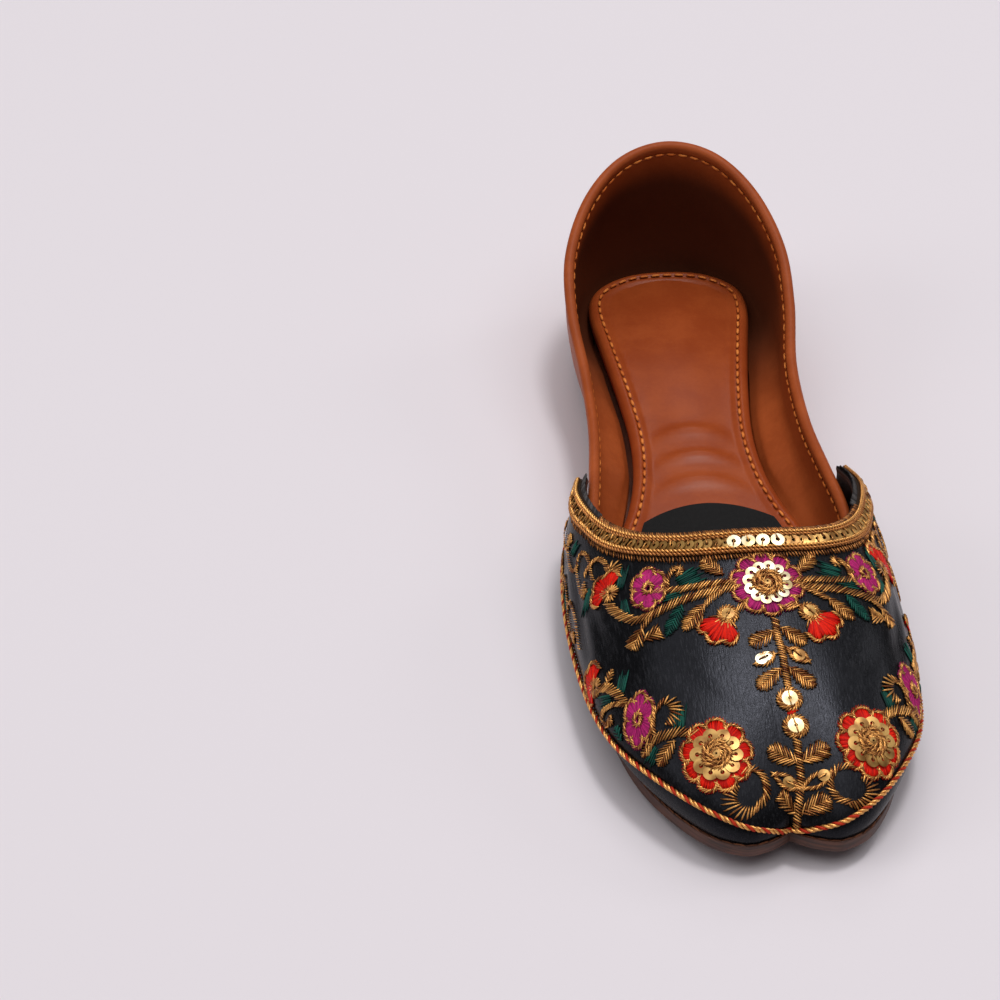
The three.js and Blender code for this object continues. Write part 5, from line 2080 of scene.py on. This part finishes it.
    def plume(self, path: Array, wide: float, inside: int) -> None:
        """Sew a curled feather: a path with stitches on one side that grow and shrink."""
        line, normals = self.canvas.drop(through(path, 0.72))
        run = unit(np.gradient(line, axis=0))
        side = np.cross(normals, run) * (inside if self.half is Half.DRAWN else -inside)
        t = np.linspace(0.08, 1, len(line))
        reach = wide * np.sin(math.pi * t**1.2) ** 0.7 + 0.4
        far = line + (0.45 * run + side) * reach[:, None]
        self.sew(self.gold, line, far, 0.5, 0.46, 0.1)

    def ringed(self, centre: Array, toward: Array, size: float, bright: bool = True) -> None:
        """Lay a sequin in a round gold rope."""
        ahead, side, middle = self.frame(centre, toward)
        angles = np.linspace(0, 2 * math.pi, 25)
        for radius, lift in ((size * 0.68, 0.15), (size * 0.53, 0.35)):
            self.rope(self.arc(middle, ahead, side, angles, np.full(25, radius)), 0.85, 0.75, 40.0, lift)
        self.sequin(middle, size * 0.98, 0.95, None, bright)
        reach = size * 0.4 * ahead
        self.sew(self.gold, (middle - reach)[None], (middle + reach)[None], 0.34, 0.3, 1.05)

    def build(self) -> list[bpy.types.Object]:
        """Sew the pattern and make one piece for each thread, with the sequins."""
        self.centre()
        for half in Half:
            self.half = half
            self.upper_border()
            self.lower_border()
            self.wing()
        self.half = Half.DRAWN
        sewn = (("gold_embroidery", self.gold, GOLD_THREAD), ("red_embroidery", self.red, RED_THREAD),
                ("magenta_embroidery", self.magenta, MAGENTA_THREAD),
                ("green_embroidery", self.green, GREEN_THREAD),
                ("needle_hole_shade", self.hole_shade_marks, HOLE_SHADE_CLOTH))
        pieces = [grown(name, store.carrier(name + "_points"), Growth.tree("stitches"), finish,
                        Wobble=0.07, Seed=1)
                  for name, store, finish in sewn]
        for name, store, hole, foil in (("pattern_sequins", self.rings, 0.17, SEQUIN_FOIL),
                                        ("pattern_discs", self.discs, 0.11, SEQUIN_FOIL),
                                        ("dull_sequins", self.dull, 0.14, GOLD_FOIL)):
            pieces.append(grown(name, store.carrier(name + "_points"), Growth.tree("sequins"), foil,
                                Steps=24, Hole=hole, Wobble=0.1, Seed=6))
        return pieces

    def centre(self) -> None:
        """Sew the middle flower and the stem that runs down to the toe."""
        at = self.spots
        flower, below = at((767, 584), (775, 622))
        self.flower(flower, below, 9.5, 10, self.magenta, 12, 3.8, bright=True)
        self.rope(at((775, 620), (777, 634), (782, 652), (785, 669), (788, 687)), 1.5, 0.72, 62)
        for base, tip in (((775, 632), (750, 645)), ((781, 628), (806, 644)), ((781, 669), (758, 689)),
                          ((789, 668), (815, 687))):
            self.leaf(*at(base, tip), 3.9)
        self.strung_leaf((774, 655), (756, 664), (761, 660))
        self.strung_leaf((788, 649), (808, 662), (799, 656), False)
        top_ring, dot, low_ring = at((789.5, 699.5), (791.7, 713), (795.7, 726.5))
        self.ringed(top_ring, dot, 4.2)
        self.ringed(low_ring, dot, 4.2)
        self.strokes(at((789, 712))[0], at((795, 713))[0], 1.2, 4, self.red)
        self.rope(at((797, 741), (799, 760), (801, 783), (798, 812), (797.5, 827)), 1.5, 0.72, 62)
        for base, tip, wide in (((798, 763), (768, 749), 4.6), ((802, 762), (828, 746), 4.6),
                                ((796, 813), (776, 798), 4.6), ((802, 813), (831, 797), 4.8)):
            self.leaf(*at(base, tip), wide)
        self.strung_leaf((799, 789), (773, 775), (789, 783), False)
        self.strung_leaf((803, 789), (831, 773), (824, 776), False)

    def strung_leaf(self, base: Spot, tip: Spot, sequin: Spot, bright: bool = True) -> None:
        """Sew a leaf that is only an outline, with a sequin in it."""
        start, end, middle = self.spots(base, tip, sequin)
        ahead, side, root = self.frame(start, end)
        long = float(np.linalg.norm(end - start))
        t = np.linspace(0, 1, 9)
        for sign in (1, -1):
            bow = sign * 1.5 * np.sin(math.pi * t)
            hair = root + (t * long)[:, None] * ahead + bow[:, None] * side
            self.rope(hair, 0.8, 0.8, 32.0, 0.15, thread=0.48)
        self.sequin(middle, 3.2, 0.7, None, bright)
        if bright:
            self.sequin(middle - 1.9 * ahead, 2.6, 0.6)
        self.sew(self.gold, (middle - 1.4 * ahead)[None], (middle + 0.4 * ahead)[None], 0.42, 0.4, 0.85)

    def upper_border(self) -> None:
        """Sew the scrolls between the braid and the middle of the vamp."""
        at = self.spots
        self.leaf(*at((723, 575), (701, 561)), 3.6)
        self.rope(at((735, 582), (712, 584), (690, 588), (670, 591), (655, 592)), 1.5)
        self.rope(at((733, 587), (712, 592), (690, 598), (670, 606), (652, 615.5), (634, 620.5), (618, 614),
                     (610, 605)), 1.9, slant=42)
        self.rope(at((722, 592), (713, 598), (705, 605)), 1.3)
        self.leaf(*at((704, 605), (684, 631)), 3.6)
        calyx, tip = at((728, 615), (712, 642))
        self.bud(calyx, tip, self.red, 50, 3)
        self.rope(at((745, 606), (737, 609)), 1.8)
        flower, side = at((648.5, 589.5), (648, 570))
        self.flower(flower, side, 6.4, 6, self.magenta, 0, 1.8, 0.76)
        self.rope(at((667, 589), (668, 579), (673, 570)), 1.1)
        self.plume(at((672, 571), (677, 566), (683, 569), (682, 575)), 2.0, -1)
        calyx, tip = at((610.5, 594), (597, 584))
        self.bud(calyx, tip, self.red, 74, 3, False)
        self.rope(at((652, 618), (646, 624), (642, 629)), 1.2)
        self.leaf(*at((643, 629), (632, 650)), 4.2)
        self.leaf(*at((645, 640), (661, 632)), 4.2)
        self.strokes(*at((681, 583), (697, 575)), 3.6, 8, self.green)
        self.leaf(*at((682, 606), (667, 636)), 3.0, self.green, 0.8)
        self.strokes(*at((621, 587), (624, 572)), 1.8, 5, self.green)
        self.strokes(*at((624, 603), (626, 616)), 1.8, 5, self.green)
        self.strokes(*at((664, 598), (680, 592)), 2.4, 5, self.green)
        self.rope(at((608, 571), (605, 563), (598, 560), (590, 567), (586, 575)), 1.0)
        self.plume(at((607, 572), (613, 568), (617, 574)), 1.6, 1)

    def lower_border(self) -> None:
        """Sew the scrolls above the seam cord, from the toe to the ball."""
        at = self.spots
        flower, side = at((716.5, 755.5), (716, 735))
        self.flower(flower, side, 9.9, 9, self.red, 10, 3.9, 0.92)
        self.rope(at((744, 771), (755, 770), (763, 777), (766.5, 789), (764, 800), (756, 807)), 1.5)
        self.plume(at((757, 807), (746, 809), (738, 805), (735, 796), (739, 788)), 2.6, 1)
        self.rope(at((694, 734), (681, 732.5), (668, 735), (657, 739), (648, 744)), 2.0, slant=48)
        self.leaf(*at((675, 741), (658, 767)), 3.4)
        self.leaf(*at((655, 741), (643, 757)), 2.4)
        self.rope(at((654.5, 735), (653.5, 722), (655, 712), (661, 705)), 1.1)
        self.plume(at((660, 705), (668, 704), (672, 713), (666, 724)), 2.2, 1)
        self.strokes(*at((680, 727), (680, 711)), 2.4, 6, self.green)
        self.strokes(*at((656, 750), (650, 762)), 2.4, 5, self.green)
        flower, side = at((639, 720), (641, 700))
        self.flower(flower, side, 7.3, 6, self.magenta, 0, 1.9, 0.62)
        self.rope(at((625, 703), (618, 695), (610, 689), (602, 688)), 1.9, slant=46)
        self.leaf(*at((607, 687), (613, 670)), 2.2)
        self.strokes(*at((621, 692), (624, 677)), 2.0, 5, self.green)
        self.rope(at((626, 705), (615, 705), (605, 711), (603, 720), (608, 727)), 1.0)
        self.plume(at((607, 727), (613, 724), (612, 716)), 1.6, 1)
        self.strokes(*at((610, 700), (602, 703)), 2.4, 5, self.green)
        self.leaf(*at((622, 740), (616, 728)), 2.4, self.green, 0.8)
        calyx, tip = at((596, 688), (589, 682))
        ahead = tip - calyx
        self.bud(calyx, calyx + unit(ahead) * 7.2, self.red, 78, 3, False)

    def tendril(self, stem: Array, curl: Array, wide: float, turn: int) -> None:
        """Sew a thin stem that ends in a plume."""
        self.rope(stem, 0.8, thread=0.4)
        self.plume(curl, wide, turn)

    def wing(self) -> None:
        """Sew what runs on along the side, past what the photograph shows."""
        at = self.side
        self.tendril(at((-4.15, 0.25), (-4.5, 0.2), (-4.85, 0.24), (-4.95, 0.34), (-4.7, 0.4)),
                     at((-4.72, 0.4), (-4.5, 0.38), (-4.5, 0.31)), 1.8, 1)
        self.tendril(at((-4.95, 0.33), (-5.2, 0.4), (-5.5, 0.36), (-5.62, 0.3)),
                     at((-5.6, 0.31), (-5.55, 0.27), (-5.4, 0.28)), 1.6, -1)
        self.tendril(at((-5.5, 0.36), (-5.8, 0.42), (-6.1, 0.4), (-6.35, 0.42)),
                     at((-6.3, 0.42), (-6.5, 0.46), (-6.45, 0.54)), 1.8, 1)
        self.strokes(*at((-4.3, 0.32), (-4.45, 0.42)), 2.2, 5, self.green)
        self.strokes(*at((-5.25, 0.32), (-5.15, 0.25)), 2.0, 4, self.green)
        self.tendril(at((-4.62, 0.63), (-4.8, 0.55), (-5.05, 0.54), (-5.2, 0.62), (-5.0, 0.69)),
                     at((-5.02, 0.69), (-4.85, 0.67), (-4.85, 0.61)), 1.6, 1)
        self.tendril(at((-5.2, 0.62), (-5.4, 0.56), (-5.6, 0.57), (-5.7, 0.63)),
                     at((-5.7, 0.62), (-5.62, 0.67), (-5.5, 0.64)), 1.6, 1)
        self.leaf(*at((-5.75, 0.6), (-6.05, 0.57)), 2.6)
        self.strokes(*at((-5.3, 0.66), (-5.45, 0.62)), 2.2, 4, self.green)


class Lamp(NamedTuple):
    """A soft light: where it stands, what it aims at, its size in metres and its power in watts."""

    name: str
    eye: Colour
    aim: Colour
    size: float
    power: float


@dataclass
class Studio:
    """The pale floor and the soft lights."""

    floor_size: float = 12.0
    floor_tone: Colour = seen(226, 219, 224)
    world_tone: Colour = seen(238, 236, 240)
    world_power: float = 0.14
    lamps: tuple[Lamp, ...] = (
        Lamp("key", (0.42, 0.26, 2.95), (0, 0, 0.02), 0.58, 26.0),
        Lamp("overhead", (0.0, 0.0, 3.1), (0, 0, 0.02), 5.0, 76.0),
        Lamp("back", (0.35, 2.1, 1.7), (0, 0, 0.03), 0.9, 3.5),
        Lamp("left", (-2.2, -0.3, 1.5), (0, 0, 0.03), 1.3, 8.0),
        Lamp("side", (1.9, 0.7, 1.3), (0, 0, 0.03), 0.7, 3.0),
    )

    def build(self) -> None:
        """Add the floor, the world's light and the lamps."""
        half = self.floor_size / 2
        mesh = bpy.data.meshes.new("floor")
        corners = [(-half, -half, 0.0), (half, -half, 0.0), (half, half, 0.0), (-half, half, 0.0)]
        mesh.from_pydata(corners, [], [(0, 1, 2, 3)])
        floor = linked("floor", mesh)
        paper = bpy.data.materials.new("paper")
        paper.use_nodes = True
        surface = paper.node_tree.nodes["Principled BSDF"]
        surface.inputs["Base Color"].default_value = (*self.floor_tone, 1.0)
        surface.inputs["Roughness"].default_value = 0.9
        mesh.materials.append(paper)
        floor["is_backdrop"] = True
        world = bpy.data.worlds.new("studio")
        world.use_nodes = True
        back = world.node_tree.nodes["Background"]
        back.inputs["Color"].default_value = (*self.world_tone, 1.0)
        back.inputs["Strength"].default_value = self.world_power
        bpy.context.scene.world = world
        for lamp in self.lamps:
            data = bpy.data.lights.new(lamp.name, "AREA")
            data.shape = "DISK"
            data.size = lamp.size
            data.energy = lamp.power
            light = linked(lamp.name, data)
            light.location = lamp.eye
            light.rotation_euler = (Vector(lamp.aim) - Vector(lamp.eye)).to_track_quat("-Z", "Y").to_euler()


def write_sizes(solid_box: object) -> None:
    def plain(value: object) -> object:
        if isinstance(value, (int, float)):
            return float(value)
        return [plain(v) for v in value]

    {"cad": plain(solid_box), "visual": plain(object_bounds())}


def main() -> None:
    """Load the frame, build every sub-assembly in order and ride it on the body."""
    logging.basicConfig(level=logging.INFO, format="%(name)s: %(message)s", force=True)
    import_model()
    solid_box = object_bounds()
    scene = bpy.context.scene
    scene.view_settings.view_transform = "Standard"
    camera = PhotoCamera()
    camera.build()
    Studio().build()
    bed = Bed()
    quarter = Quarter()
    vamp = Vamp()
    canvas = Canvas(vamp, camera)
    for part in (Sole(), bed, quarter, vamp, ThroatBraid(), SeamCord(), Seams(bed, quarter),
                 Embroidery(canvas)):
        for piece in part.build():
            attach(piece, ROOT)
            log.info("%s: %d faces", piece.name, len(piece.data.polygons))
    write_sizes(solid_box)


if __name__ == "__main__":
    main()
